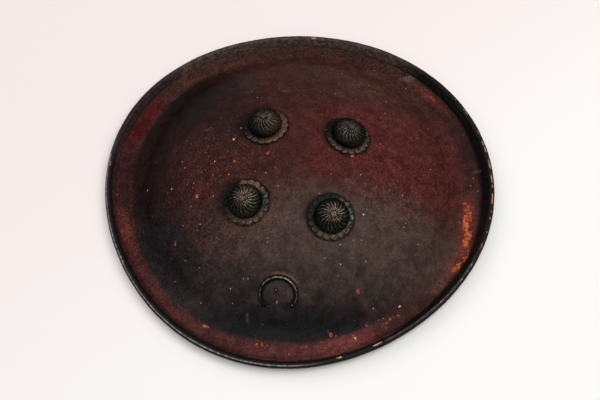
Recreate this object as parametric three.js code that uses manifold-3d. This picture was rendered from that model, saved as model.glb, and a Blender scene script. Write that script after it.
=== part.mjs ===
// A dhal: a round Indian hide shield, lying face up on its rim. Millimetres, +Z up.
// The bowl is one moulded hide with a valley and an upturned lip. Four iron bosses on its
// face cover the ring bolts that hold two hand grips and a cushion inside.
import * as THREE from "three";
import { mergeVertices } from "three/addons/utils/BufferGeometryUtils.js";
import Module from "manifold-3d";

const wasm = await Module();
wasm.setup();

// Hide bowl
const HIDE_THICKNESS = 4.6;
const DOME_RADIUS = 268;
const DOME_EDGE_SLOPE = 42.5;
const VALLEY_RADIUS = 37;
const REST_WIDTH = 5.5;
const LIP_RADIUS = 15;
const LIP_SLOPE = 55;

// How the old hide has warped: the outline's swing over two, three and four waves, and where
// each wave peaks, then how far the lip curls up on its higher side
const WARP_TWO_WAVES = 3.4;
const WARP_TWO_AT = 15;
const WARP_THREE_WAVES = 3.8;
const WARP_THREE_AT = 32;
const WARP_FOUR_WAVES = 1.1;
const WARP_FOUR_AT = -12;
const LIP_LIFT = 5;
const LIP_LIFT_AT = 32;

// Rim binding: a strip folded over the edge, its two ends meeting at a butt joint
const BINDING_WALL = 1.2;
const BINDING_REACH = 8;
const BINDING_JOINT_AT = -54;
const BINDING_JOINT_GAP = 1.2;

// Boss places on the face: two columns of two, one column for each grip
const BOSS_CENTRE_X = 4.4;
const BOSS_CENTRE_Y = -19;
const BOSS_ROW_PITCH = 95;
const BOSS_LEFT_PITCH = 97.5;
const BOSS_RIGHT_PITCH = 103.5;
const BOSS_ROW_TURN = 2.9;

// Boss: a scalloped rosette under a fluted dome, which narrows below its belly to a foot
const ROSETTE_RADIUS = 26.4;
const ROSETTE_THICKNESS = 1.2;
const SCALLOP_DEPTH = 2.4;
const LOBE_RING = 0.7;
const LOBE_HEIGHT = 1;
const BOSS_RADIUS = 19.6;
const BOSS_FOOT_RADIUS = 17.6;
const BOSS_BELLY_HEIGHT = 4.5;
const BOSS_HEIGHT = 16;
const BOSS_WALL = 1.3;
const FLUTE_DEPTH = 0.7;

// Ring bolt, its washer and the grip ring
const SHANK_RADIUS = 2.5;
const HEAD_RADIUS = 4.4;
const HEAD_HEIGHT = 1.9;
const EYE_RADIUS = 5.3;
const EYE_WIRE = 1.9;
const WASHER_RADIUS = 9.5;
const WASHER_THICKNESS = 1.4;
const RING_RADIUS = 11.5;
const RING_WIRE = 1.65;

// Cushion
const CUSHION_MARGIN = 17;
const CUSHION_CORNER = 5;
const CUSHION_CROWN = 14;
const CUSHION_EDGE = 3.2;
const CUSHION_CHANNEL = 2.6;
const CUSHION_CHANNEL_WIDTH = 5;
const CUSHION_DRAW_SHARE = 0.06;
const CUSHION_ROUND_SHARE = 0.07;
const DIMPLE_PLAY = 0.8;

// Grip: a strap looped through two rings, with a padded sleeve and two bindings
const STRAP_WIDTH = 9;
const STRAP_THICKNESS = 4;
const STRAP_LOOP_WALL = 1.9;
const STRAP_LOOP_BORE = 3;
const GRIP_BOW = 6;
const PAD_WIDTH = 22;
const PAD_DEPTH = 19;
const PAD_END_SHARE = 0.62;
const PAD_CLEAR_OF_RING = 13.5;
const TIE_LENGTH = 5.5;
const TIE_WALL = 1.6;
const TIE_PLAY = 0.8;
const TIE_END_SHARE = 0.88;

// Crescent, set in from the dome's edge, and its nails
const CRESCENT_INSET = 25.6;
const CRESCENT_BEARING = -85.9;
const CRESCENT_TURN = 11.8;
const CRESCENT_RADIUS = 19.5;
const CRESCENT_FLAT_SHARE = 0.96;
const CRESCENT_SPAN = 254;
const CRESCENT_WIDTH = 5;
const CRESCENT_HEIGHT = 3;
const CRESCENT_TIP_SHARE = 0.45;
const CRESCENT_HORN = 6;
const CRESCENT_HORN_SHARE = 0.16;
const CRESCENT_PAD_RADIUS = 2.9;
const CRESCENT_PAD_HEIGHT = 1.5;
const NAIL_SHANK = 1.1;
const NAIL_HEAD_RADIUS = 2.3;
const NAIL_HEAD_HEIGHT = 1.3;
const NAIL_CLENCH = 1.2;
const CENTRE_NAIL_ACROSS = -2.3;
const CENTRE_NAIL_ALONG = 5;

// Clearances, and how far a cut runs past the material
const SEAT_GAP = 0.3;
const HOLE_PLAY = 0.35;
const OVERRUN = 6;
const MERGE_DISTANCE = 0.0001;

// How finely round things are cut into faces
const RIM_STEPS = 54;
const DOME_STEPS = 8;
const BEND_STEPS = 3;
const SCALLOPS = 18;
const FLUTES = 20;
const HOLE_SIDES = 12;

const degrees = THREE.MathUtils.degToRad;
const TURN = 2 * Math.PI;

// Sizes worked out from the driving ones
const domeEdge = degrees(DOME_EDGE_SLOPE);
const lipEnd = degrees(LIP_SLOPE);
const domeReach = DOME_RADIUS * Math.sin(domeEdge);
const valleyAt = (DOME_RADIUS + VALLEY_RADIUS) * Math.sin(domeEdge);
const domeCentreZ =
  HIDE_THICKNESS + VALLEY_RADIUS - (DOME_RADIUS + VALLEY_RADIUS) * Math.cos(domeEdge);
const lipStart = valleyAt + REST_WIDTH;
const lipCentreZ = HIDE_THICKNESS + LIP_RADIUS;
const lipMidRadius = LIP_RADIUS + HIDE_THICKNESS / 2;
const edgeRadius = lipStart + lipMidRadius * Math.sin(lipEnd);
const facetSag = DOME_RADIUS * (1 - Math.cos(domeEdge / DOME_STEPS / 2));
const seatDepth = HIDE_THICKNESS + SEAT_GAP + facetSag;

// Materials, as the photograph shows them
const lacquer = { color: 0x3a1d1c, roughness: 0.42, metalness: 0 };
const darkLacquer = { color: 0x17120f, roughness: 0.38, metalness: 0 };
const iron = { color: 0x34352f, roughness: 0.5, metalness: 0.85 };
const leather = { color: 0x4a2418, roughness: 0.7, metalness: 0 };
const cloth = { color: 0x5c1f22, roughness: 0.9, metalness: 0 };
const thread = { color: 0x9a8258, roughness: 0.85, metalness: 0 };

const shield = new THREE.Group();

// A closed mesh as a solid that can be joined and cut
function solidOf(geometry) {
  const bare = geometry.index ? geometry.toNonIndexed() : geometry.clone();
  const places = new THREE.BufferGeometry();
  places.setAttribute("position", bare.getAttribute("position"));
  const merged = mergeVertices(places, MERGE_DISTANCE);
  return new wasm.Manifold(
    new wasm.Mesh({
      numProp: 3,
      vertProperties: merged.attributes.position.array,
      triVerts: new Uint32Array(merged.index.array),
    }),
  );
}

// A joined or cut solid as a three.js geometry
function geometryOf(solid) {
  const mesh = solid.getMesh();
  const geometry = new THREE.BufferGeometry();
  geometry.setAttribute("position", new THREE.BufferAttribute(mesh.vertProperties, mesh.numProp));
  geometry.setIndex(new THREE.BufferAttribute(mesh.triVerts, 1));
  const flat = geometry.toNonIndexed();
  flat.computeVertexNormals();
  return flat;
}

function addPiece(parent, name, shape, look) {
  const geometry = shape.isBufferGeometry ? shape : geometryOf(shape);
  const mesh = new THREE.Mesh(geometry, new THREE.MeshStandardMaterial(look));
  mesh.name = name;
  parent.add(mesh);
  return mesh;
}

// Even values from a to b, both ends kept
function spread(a, b, steps) {
  return Array.from({ length: steps + 1 }, (_, i) => a + ((b - a) * i) / steps);
}

// Skins rings of points one after another. A ring of one point is a pole; without poles the
// last ring joins the first (looped) or both ends are closed by fans.
function skin(rings, looped = false) {
  const corners = [];
  const face = (a, b, c) => corners.push(...a.toArray(), ...b.toArray(), ...c.toArray());
  const join = (ring, next) => {
    const count = Math.max(ring.length, next.length);
    for (let i = 0; i < count; i++) {
      const j = (i + 1) % count;
      if (ring.length > 1) face(ring[i], next[i % next.length], ring[j]);
      if (next.length > 1) face(ring[j % ring.length], next[i], next[j]);
    }
  };
  rings.slice(1).forEach((ring, i) => join(rings[i], ring));
  if (looped) join(rings.at(-1), rings[0]);
  else {
    const middle = (ring) =>
      ring.reduce((sum, p) => sum.add(p), new THREE.Vector3()).divideScalar(ring.length);
    if (rings[0].length > 1) join([middle(rings[0])], rings[0]);
    if (rings.at(-1).length > 1) join(rings.at(-1), [middle(rings.at(-1))]);
  }
  const geometry = new THREE.BufferGeometry();
  geometry.setAttribute("position", new THREE.Float32BufferAttribute(corners, 3));
  geometry.computeVertexNormals();
  return geometry;
}

// A round bar along Z from low to high
function bar(radius, low, high, sides = HOLE_SIDES) {
  const cylinder = new THREE.CylinderGeometry(radius, radius, high - low, sides);
  cylinder.rotateX(Math.PI / 2);
  cylinder.translate(0, 0, (low + high) / 2);
  return cylinder;
}

// The warp of the old hide: an unwarped point of the profile goes to its place on the shield
function outlineShare(angle) {
  const wave = (size, waves, at) => size * Math.cos(waves * (angle - degrees(at)));
  const swing =
    wave(WARP_TWO_WAVES, 2, WARP_TWO_AT) +
    wave(WARP_THREE_WAVES, 3, WARP_THREE_AT) +
    wave(WARP_FOUR_WAVES, 4, WARP_FOUR_AT);
  return 1 + swing / edgeRadius;
}

function warped(radius, z, angle) {
  const into = THREE.MathUtils.smoothstep(radius, domeReach, valleyAt);
  const out = radius * (1 + (outlineShare(angle) - 1) * into);
  const upLip = Math.max(0, radius - lipStart) / (edgeRadius - lipStart);
  const lift = (LIP_LIFT * (1 + Math.cos(angle - degrees(LIP_LIFT_AT)))) / 2;
  return new THREE.Vector3(out * Math.cos(angle), out * Math.sin(angle), z + upLip * lift);
}

// The bowl's profile at a depth below its face, from the crown out to the edge of the lip
function profileAt(depth) {
  const centreOut = DOME_RADIUS + VALLEY_RADIUS;
  const dome = spread(0, domeEdge, DOME_STEPS).map((a) => [
    (DOME_RADIUS - depth) * Math.sin(a),
    domeCentreZ + (DOME_RADIUS - depth) * Math.cos(a),
  ]);
  const valley = spread(domeEdge, 0, BEND_STEPS).slice(1);
  const valleyArc = valley.map((a) => [
    centreOut * Math.sin(domeEdge) - (VALLEY_RADIUS + depth) * Math.sin(a),
    domeCentreZ + centreOut * Math.cos(domeEdge) - (VALLEY_RADIUS + depth) * Math.cos(a),
  ]);
  const lipArc = spread(0, lipEnd, BEND_STEPS).map((a) => lipPoint(depth, a));
  return [...dome, ...valleyArc, ...lipArc];
}

function lipPoint(depth, angle) {
  return [
    lipStart + (LIP_RADIUS + depth) * Math.sin(angle),
    lipCentreZ - (LIP_RADIUS + depth) * Math.cos(angle),
  ];
}

function ringOf([radius, z], angles) {
  if (radius === 0) return [new THREE.Vector3(0, 0, z)];
  return angles.map((angle) => warped(radius, z, angle));
}

// A group that sits on the dome's face at x, y, with its +Z straight out of the hide
function seatOnDome(x, y, turn = 0) {
  const centre = new THREE.Vector3(0, 0, domeCentreZ);
  const place = new THREE.Vector3(x, y, domeCentreZ + Math.sqrt(DOME_RADIUS ** 2 - x * x - y * y));
  const out = place.clone().sub(centre).normalize();
  const across = new THREE.Vector3(Math.cos(turn), Math.sin(turn), 0);
  across.addScaledVector(out, -across.dot(out)).normalize();
  const along = new THREE.Vector3().crossVectors(out, across);
  const seat = new THREE.Group();
  seat.matrix.makeBasis(across, along, out).setPosition(place);
  seat.matrix.decompose(seat.position, seat.quaternion, seat.scale);
  seat.updateMatrix();
  shield.add(seat);
  return seat;
}

// Bends a flat piece down onto the dome, whose face falls away from its seat
function dish(geometry) {
  const places = geometry.getAttribute("position");
  for (let i = 0; i < places.count; i++) {
    const fall = (places.getX(i) ** 2 + places.getY(i) ** 2) / (2 * DOME_RADIUS);
    places.setZ(i, places.getZ(i) - fall);
  }
  return geometry;
}

function drilledHole(seat, radius, x = 0, y = 0) {
  const hole = bar(radius, -HIDE_THICKNESS - OVERRUN, OVERRUN);
  hole.translate(x, y, 0);
  hole.applyMatrix4(seat.matrix);
  return solidOf(hole);
}

// The hide bowl, drilled for the ring bolts and the nails
function makeBowl(holes) {
  const angles = spread(0, TURN, RIM_STEPS).slice(0, -1);
  const top = profileAt(0);
  const under = profileAt(HIDE_THICKNESS).reverse();
  const rings = [...top, ...under].map((point) => ringOf(point, angles));
  const bowl = holes.reduce((body, hole) => body.subtract(hole), solidOf(skin(rings)));
  addPiece(shield, "hide_bowl", bowl, lacquer);
}

// The binding's section runs along the lip, round the edge and back under it
function bindingSection(gap) {
  const back = BINDING_REACH / lipMidRadius;
  const round = HIDE_THICKNESS / 2 + gap;
  const middle = lipPoint(HIDE_THICKNESS / 2, lipEnd);
  const legs = [lipEnd - back, lipEnd - back / 2];
  const tip = spread(-Math.PI / 2, Math.PI / 2, 3).map((a) => [
    middle[0] + round * Math.cos(lipEnd - a),
    middle[1] + round * Math.sin(lipEnd - a),
  ]);
  return [
    ...legs.map((a) => lipPoint(-gap, a)),
    ...tip,
    ...legs.reverse().map((a) => lipPoint(HIDE_THICKNESS + gap, a)),
  ];
}

function makeBinding() {
  const step = TURN / RIM_STEPS;
  const joint = Math.round(degrees(BINDING_JOINT_AT) / step) * step;
  const halfGap = BINDING_JOINT_GAP / 2 / edgeRadius;
  const grid = spread(0, TURN, RIM_STEPS).slice(0, -1);
  const after = grid.map((a) => (a - joint + TURN) % TURN);
  const inside = after.filter((a) => a > 2 * halfGap && a < TURN - 2 * halfGap);
  const angles = [halfGap, ...inside.sort((a, b) => a - b), TURN - halfGap].map((a) => a + joint);
  const outer = bindingSection(SEAT_GAP + BINDING_WALL);
  const section = [...outer, ...bindingSection(SEAT_GAP).reverse()];
  const rings = angles.map((angle) => section.map(([radius, z]) => warped(radius, z, angle)));
  addPiece(shield, "rim_binding", stripSkin(rings, outer.length), darkLacquer);
}

// Skins a strip whose section is two lines of equal length, the second one walked back
function stripSkin(rings, line) {
  const corners = [];
  const quad = (a, b, c, d) => {
    for (const p of [a, b, c, a, c, d]) corners.push(...p.toArray());
  };
  const count = rings[0].length;
  rings.slice(1).forEach((next, k) => {
    for (let i = 0; i < count; i++) {
      const j = (i + 1) % count;
      quad(rings[k][i], rings[k][j], next[j], next[i]);
    }
  });
  const cap = (ring, flip) => {
    for (let i = 0; i < line - 1; i++) {
      const four = [ring[i], ring[count - 1 - i], ring[count - 2 - i], ring[i + 1]];
      quad(...(flip ? four.reverse() : four));
    }
  };
  cap(rings[0], false);
  cap(rings.at(-1), true);
  const geometry = new THREE.BufferGeometry();
  geometry.setAttribute("position", new THREE.Float32BufferAttribute(corners, 3));
  geometry.computeVertexNormals();
  return geometry;
}

// Heights of the stack on one ring bolt, outwards and inwards from the hide's face
const rosetteTop = SEAT_GAP + ROSETTE_THICKNESS;
const bossFall = BOSS_FOOT_RADIUS ** 2 / (2 * DOME_RADIUS);
const bossBase = rosetteTop + SEAT_GAP - bossFall;
const bossCrown = bossBase + BOSS_HEIGHT;
const washerTop = seatDepth + CUSHION_CORNER + SEAT_GAP;
const washerUnder = washerTop + WASHER_THICKNESS;
const eyeDepth = washerUnder + SEAT_GAP + EYE_RADIUS + EYE_WIRE;
const ringDrop = EYE_RADIUS - EYE_WIRE - RING_WIRE - HOLE_PLAY;

// A thin plate whose edge is a row of domed lobes, as radius and height round each ring
function makeRosette(seat, site) {
  const perLobe = 3;
  const bulges = Array.from({ length: SCALLOPS * perLobe }, (_, i) =>
    Math.abs(Math.sin((Math.PI * i) / perLobe)),
  );
  const inner = ROSETTE_RADIUS - SCALLOP_DEPTH;
  const lobes = BOSS_FOOT_RADIUS + LOBE_RING;
  const crest = (lobes + ROSETTE_RADIUS) / 2;
  const lines = bulges.map((bulge) => {
    const edge = inner + SCALLOP_DEPTH * bulge;
    const swell = LOBE_HEIGHT * bulge;
    return [
      [SHANK_RADIUS + HOLE_PLAY, ROSETTE_THICKNESS],
      [lobes, ROSETTE_THICKNESS],
      [crest, ROSETTE_THICKNESS + swell],
      [edge, ROSETTE_THICKNESS / 2],
      [edge, 0],
      [ROSETTE_RADIUS / 2, 0],
      [SHANK_RADIUS + HOLE_PLAY, 0],
    ];
  });
  const rings = lines[0].map((_, k) =>
    lines.map((line, i) => {
      const a = (TURN * i) / lines.length;
      const [r, z] = line[k];
      return new THREE.Vector3(r * Math.cos(a), r * Math.sin(a), SEAT_GAP + z);
    }),
  );
  addPiece(seat, "boss_rosette_" + site, dish(skin(rings, true)), iron);
}

// A sheet-iron dome, fluted outside and smooth inside, with a hole at its crown
function makeBossDome(seat, site) {
  const hole = SHANK_RADIUS + HOLE_PLAY;
  // The side of the dome from the hole down to the foot, as radius, height and flute depth
  const line = (wall, steps) => {
    const belly = BOSS_RADIUS - wall;
    const foot = BOSS_FOOT_RADIUS - wall;
    const rise = BOSS_HEIGHT - wall - BOSS_BELLY_HEIGHT;
    const above = spread(Math.asin(hole / belly), Math.PI / 2, steps).map((t) => [
      belly * Math.sin(t),
      BOSS_BELLY_HEIGHT + rise * Math.cos(t),
      Math.sin(2 * t),
    ]);
    const below = spread(0, Math.PI / 2, 2).map((t) => [
      foot + (belly - foot) * Math.cos(t),
      BOSS_BELLY_HEIGHT * (1 - Math.sin(t)),
      0,
    ]);
    return [...above, ...below.slice(1)];
  };
  const outer = line(0, 4).map(([r, z, share]) => [r, z, share * FLUTE_DEPTH]);
  const inner = line(BOSS_WALL, 2).map(([r, z]) => [r, z, 0]);
  const rings = [...outer, ...inner.reverse()].map(([radius, z, groove]) =>
    spread(0, TURN, 2 * FLUTES)
      .slice(0, -1)
      .map((a, i) => {
        const r = radius - (i % 2) * groove;
        return new THREE.Vector3(r * Math.cos(a), r * Math.sin(a), bossBase + z);
      }),
  );
  addPiece(seat, "boss_dome_" + site, skin(rings, true), iron);
}

// The bolt is peened over the crown of the boss and ends inside in an eye
function makeRingBolt(seat, site) {
  const headLine = [
    [0, HEAD_HEIGHT],
    [HEAD_RADIUS * Math.SQRT1_2, HEAD_HEIGHT * Math.SQRT1_2],
    [HEAD_RADIUS, 0],
    [0, 0],
  ].map(([r, z]) => new THREE.Vector2(r, z));
  const head = new THREE.LatheGeometry(headLine.reverse(), HOLE_SIDES);
  head.rotateX(Math.PI / 2);
  head.translate(0, 0, bossCrown + SEAT_GAP);
  const shank = bar(SHANK_RADIUS, -eyeDepth + EYE_RADIUS, bossCrown + SEAT_GAP + HEAD_HEIGHT / 2);
  const eye = new THREE.TorusGeometry(EYE_RADIUS, EYE_WIRE, 6, 16);
  eye.rotateY(Math.PI / 2);
  eye.translate(0, 0, -eyeDepth);
  const bolt = solidOf(head).add(solidOf(shank)).add(solidOf(eye));
  addPiece(seat, "ring_bolt_" + site, bolt, iron);
}

function makeWasher(seat, site) {
  const disc = solidOf(bar(WASHER_RADIUS, -washerUnder, -washerTop, 2 * HOLE_SIDES));
  const hole = bar(SHANK_RADIUS + HOLE_PLAY, -washerUnder - OVERRUN, OVERRUN);
  addPiece(seat, "ring_washer_" + site, disc.subtract(solidOf(hole)), iron);
}

// The rings hang straight down from their eyes
function makeRing(seat, site) {
  const ring = new THREE.TorusGeometry(RING_RADIUS, RING_WIRE, 6, 20);
  ring.rotateX(Math.PI / 2);
  const hinge = new THREE.Vector3(0, 0, -eyeDepth).applyMatrix4(seat.matrix);
  hinge.z -= ringDrop;
  const piece = addPiece(shield, "grip_ring_" + site, ring, iron);
  piece.position.copy(hinge);
  piece.position.z -= RING_RADIUS;
  return hinge;
}

// A point inside the dome, at a depth below its face, over the place x, y
function underDome(x, y, depth) {
  const out = new THREE.Vector3(x, y, Math.sqrt(DOME_RADIUS ** 2 - x * x - y * y));
  out.multiplyScalar((DOME_RADIUS - depth) / DOME_RADIUS);
  out.z += domeCentreZ;
  return out;
}

// How thick the cushion is at u, v, which run from -1 to 1 across it
function cushionThickness(u, v, halfRow) {
  const swell = (1 - u ** 4) * (1 - v ** 4);
  const full = CUSHION_EDGE + (CUSHION_CROWN - CUSHION_EDGE) * Math.sqrt(swell);
  const offDiagonal = Math.min(Math.abs(u - v), Math.abs(u + v)) * halfRow * Math.SQRT1_2;
  const channel = Math.exp(-((offDiagonal / CUSHION_CHANNEL_WIDTH) ** 2)) * swell;
  return full - CUSHION_CHANNEL * channel;
}

// Half the distance between the two bolts of a column that is this far across from the middle
function halfColumnAt(across) {
  const middle = (BOSS_LEFT_PITCH + BOSS_RIGHT_PITCH) / 4;
  return middle + (across * (BOSS_RIGHT_PITCH - BOSS_LEFT_PITCH)) / (2 * BOSS_ROW_PITCH);
}

function makeCushion(bolts) {
  const halfRow = BOSS_ROW_PITCH / 2 + CUSHION_MARGIN;
  const turn = degrees(BOSS_ROW_TURN);
  const place = (u, v, depth) => {
    const rounded = 1 - CUSHION_ROUND_SHARE * (u * v) ** 4;
    const across = u * halfRow * rounded * (1 - CUSHION_DRAW_SHARE * (1 - v * v));
    const halfColumn = halfColumnAt(across) + CUSHION_MARGIN;
    const along = v * halfColumn * rounded * (1 - CUSHION_DRAW_SHARE * (1 - u * u));
    return underDome(
      BOSS_CENTRE_X + across * Math.cos(turn),
      BOSS_CENTRE_Y + across * Math.sin(turn) + along,
      depth,
    );
  };
  // Square rings walked round the cushion, from its middle out over the top and back below
  const perSide = 6;
  const square = (size) =>
    [0, 1, 2, 3].flatMap((side) =>
      spread(-1, 1, perSide)
        .slice(0, -1)
        .map((t) => {
          const [u, v] = [
            [1, t],
            [-t, 1],
            [-1, -t],
            [t, -1],
          ][side];
          return [u * size, v * size];
        }),
    );
  const squareShares = [0.17, 0.36, 0.55, 0.72, 0.86, 0.95, 1];
  const top = [
    [place(0, 0, seatDepth)],
    ...squareShares.map((s) => square(s).map(([u, v]) => place(u, v, seatDepth))),
  ];
  const depthAt = (u, v) => seatDepth + cushionThickness(u, v, halfRow);
  const under = [
    ...squareShares.reverse().map((s) => square(s).map(([u, v]) => place(u, v, depthAt(u, v)))),
    [place(0, 0, depthAt(0, 0))],
  ];
  const body = solidOf(skin([...top, ...under]));
  addPiece(shield, "cushion", bolts.reduce((solid, hole) => solid.subtract(hole), body), cloth);
}

// A bolt's hole through the cushion, with the flared dimple that its washer presses
function pressedHole(seat) {
  const hole = bar(SHANK_RADIUS + HOLE_PLAY, -washerUnder, 0);
  const low = seatDepth + CUSHION_CORNER;
  const deep = CUSHION_CROWN;
  const narrow = WASHER_RADIUS + DIMPLE_PLAY;
  const dimple = new THREE.CylinderGeometry(narrow, narrow + deep, deep, HOLE_SIDES);
  dimple.rotateX(Math.PI / 2);
  dimple.translate(0, 0, -low - deep / 2);
  return solidOf(hole.applyMatrix4(seat.matrix)).add(solidOf(dimple.applyMatrix4(seat.matrix)));
}

// One grip: its frame lies along the line between its two rings' lowest points
function makeGrip(side, backHinge, frontHinge) {
  const low = (hinge) => hinge.clone().setZ(hinge.z - 2 * RING_RADIUS);
  const back = low(backHinge);
  const front = low(frontHinge);
  const span = back.distanceTo(front);
  const across = new THREE.Vector3(1, 0, 0);
  const along = back.clone().sub(front).normalize();
  const up = new THREE.Vector3().crossVectors(across, along);
  const grip = new THREE.Group();
  grip.matrix.makeBasis(across, along, up);
  grip.quaternion.setFromRotationMatrix(grip.matrix);
  grip.position.addVectors(back, front).multiplyScalar(1 / 2);
  shield.add(grip);

  const sagAt = (y) => -GRIP_BOW * (1 - ((2 * y) / span) ** 2);
  const loopRadius = STRAP_LOOP_BORE + STRAP_LOOP_WALL;
  const sideways = new THREE.Matrix4().makeBasis(
    new THREE.Vector3(0, 1, 0),
    new THREE.Vector3(0, 0, 1),
    new THREE.Vector3(1, 0, 0),
  );
  // A length of the strap between two places, grown all round by some play
  const strapLength = (from, to, play) => {
    const half = STRAP_THICKNESS / 2 + play;
    const line = spread(from, to, 8);
    const shape = new THREE.Shape([
      ...line.map((y) => new THREE.Vector2(y, sagAt(y) - half)),
      ...line.reverse().map((y) => new THREE.Vector2(y, sagAt(y) + half)),
    ]);
    const wide = STRAP_WIDTH + 2 * play;
    const body = new THREE.ExtrudeGeometry(shape, { depth: wide, bevelEnabled: false });
    body.translate(0, 0, -wide / 2);
    return solidOf(body.applyMatrix4(sideways));
  };
  const roller = (radius, y, wide) => {
    const round = bar(radius, -wide / 2, wide / 2, 16);
    round.applyMatrix4(sideways);
    round.translate(0, y, 0);
    return solidOf(round);
  };
  const ends = [-span / 2, span / 2];
  let strap = strapLength(ends[0], ends[1], 0);
  ends.forEach((y) => (strap = strap.add(roller(loopRadius, y, STRAP_WIDTH))));
  ends.forEach((y) => (strap = strap.subtract(roller(STRAP_LOOP_BORE, y, STRAP_WIDTH + OVERRUN))));
  addPiece(grip, "grip_strap_" + side, strap, leather);

  const bore = strapLength(ends[0], ends[1], SEAT_GAP);
  const sleeve = (stations) =>
    skin(
      stations.map(([y, halfWide, halfDeep]) =>
        spread(TURN, 0, 14)
          .slice(0, -1)
          .map(
            (a) => new THREE.Vector3(halfWide * Math.sin(a), y, sagAt(y) + halfDeep * Math.cos(a)),
          ),
      ),
    );
  const padEnd = span / 2 - PAD_CLEAR_OF_RING;
  const padLine = spread(-1, 1, 8).map((t) => {
    const swell = PAD_END_SHARE + (1 - PAD_END_SHARE) * Math.sqrt(1 - t ** 4);
    return [t * padEnd, (swell * PAD_WIDTH) / 2, (swell * PAD_DEPTH) / 2];
  });
  addPiece(grip, "grip_pad_" + side, solidOf(sleeve(padLine)).subtract(bore), cloth);

  const tieWide = STRAP_WIDTH / 2 + SEAT_GAP + TIE_WALL;
  const tieDeep = STRAP_THICKNESS / 2 + SEAT_GAP + TIE_WALL;
  const tieMiddle = padEnd + TIE_PLAY + TIE_LENGTH / 2;
  [
    ["front", -tieMiddle],
    ["back", tieMiddle],
  ].forEach(([end, y]) => {
    const line = spread(-1, 1, 4).map((t) => {
      const swell = Math.SQRT2 * (1 - (1 - TIE_END_SHARE) * t ** 4);
      return [y + (t * TIE_LENGTH) / 2, tieWide * swell, tieDeep * swell];
    });
    addPiece(grip, `grip_tie_${side}_${end}`, solidOf(sleeve(line)).subtract(bore), thread);
  });
}

// A place on the crescent's middle line, at an angle from its top
function crescentPlace(angle) {
  return [
    CRESCENT_RADIUS * Math.sin(angle),
    CRESCENT_FLAT_SHARE * CRESCENT_RADIUS * Math.cos(angle),
  ];
}

// The crescent: a half-round arc, a little flattened, that thins to a nail pad at each tip and
// then turns in as a pointed horn
function makeCrescent(seat, tips) {
  const half = degrees(CRESCENT_SPAN) / 2;
  const across = (place, out, share) =>
    spread(0, Math.PI, 4).map((t) => {
      const [x, y] = [0, 1].map((i) => place[i] + out[i] * (share * CRESCENT_WIDTH * Math.cos(t)) / 2);
      return new THREE.Vector3(x, y, SEAT_GAP + share * CRESCENT_HEIGHT * Math.sin(t));
    });
  const arc = spread(half, -half, 20).map((a) => {
    const share = CRESCENT_TIP_SHARE + (1 - CRESCENT_TIP_SHARE) * Math.cos(((a / half) * Math.PI) / 2);
    const out = new THREE.Vector2(CRESCENT_FLAT_SHARE * Math.sin(a), Math.cos(a)).normalize();
    return across(crescentPlace(a), out.toArray(), share);
  });
  const horn = (hand) => {
    const [x, y] = crescentPlace(hand * half);
    return across([x - hand * CRESCENT_HORN, y], [0, -1], CRESCENT_HORN_SHARE);
  };
  let body = solidOf(dish(skin([horn(1), ...arc, horn(-1)])));
  tips.forEach(([x, y]) => {
    const pad = bar(CRESCENT_PAD_RADIUS, SEAT_GAP, SEAT_GAP + CRESCENT_PAD_HEIGHT);
    pad.translate(x, y, -(x * x + y * y) / (2 * DOME_RADIUS));
    const hole = bar(NAIL_SHANK + HOLE_PLAY, -OVERRUN, OVERRUN, 8);
    hole.translate(x, y, 0);
    body = body.add(solidOf(pad)).subtract(solidOf(hole));
  });
  addPiece(seat, "crescent", body, iron);
}

// A nail with a domed head outside, its point clenched on the inside of the hide
function makeNail(seat, name, x, y, rests) {
  const headLine = [
    [0, 0],
    [NAIL_HEAD_RADIUS, 0],
    [NAIL_HEAD_RADIUS * Math.SQRT1_2, NAIL_HEAD_HEIGHT * Math.SQRT1_2],
    [0, NAIL_HEAD_HEIGHT],
  ].map(([r, z]) => new THREE.Vector2(r, z));
  const head = new THREE.LatheGeometry(headLine, 10);
  head.rotateX(Math.PI / 2);
  head.translate(0, 0, rests);
  const shank = bar(NAIL_SHANK, -seatDepth - NAIL_CLENCH / 2, rests + NAIL_HEAD_HEIGHT / 2, 8);
  const clench = bar(NAIL_HEAD_RADIUS * Math.SQRT1_2, -seatDepth - NAIL_CLENCH, -seatDepth, 8);
  const nail = solidOf(head).add(solidOf(shank)).add(solidOf(clench));
  const fall = (x * x + y * y) / (2 * DOME_RADIUS);
  addPiece(seat, name, nail, iron).position.set(x, y, -fall);
}

// The four bosses, and what hangs on each bolt
const sites = [
  ["back_left", -1, 1],
  ["back_right", 1, 1],
  ["front_left", -1, -1],
  ["front_right", 1, -1],
];
const hideHoles = [];
const cushionHoles = [];
const hinges = {};
for (const [site, column, row] of sites) {
  const reach = (column * BOSS_ROW_PITCH) / 2;
  const seat = seatOnDome(
    BOSS_CENTRE_X + reach * Math.cos(degrees(BOSS_ROW_TURN)),
    BOSS_CENTRE_Y + reach * Math.sin(degrees(BOSS_ROW_TURN)) + row * halfColumnAt(reach),
  );
  makeRosette(seat, site);
  makeBossDome(seat, site);
  makeRingBolt(seat, site);
  makeWasher(seat, site);
  hinges[site] = makeRing(seat, site);
  hideHoles.push(drilledHole(seat, SHANK_RADIUS + HOLE_PLAY));
  cushionHoles.push(pressedHole(seat));
}
makeCushion(cushionHoles);
makeGrip("left", hinges.back_left, hinges.front_left);
makeGrip("right", hinges.back_right, hinges.front_right);

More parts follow.
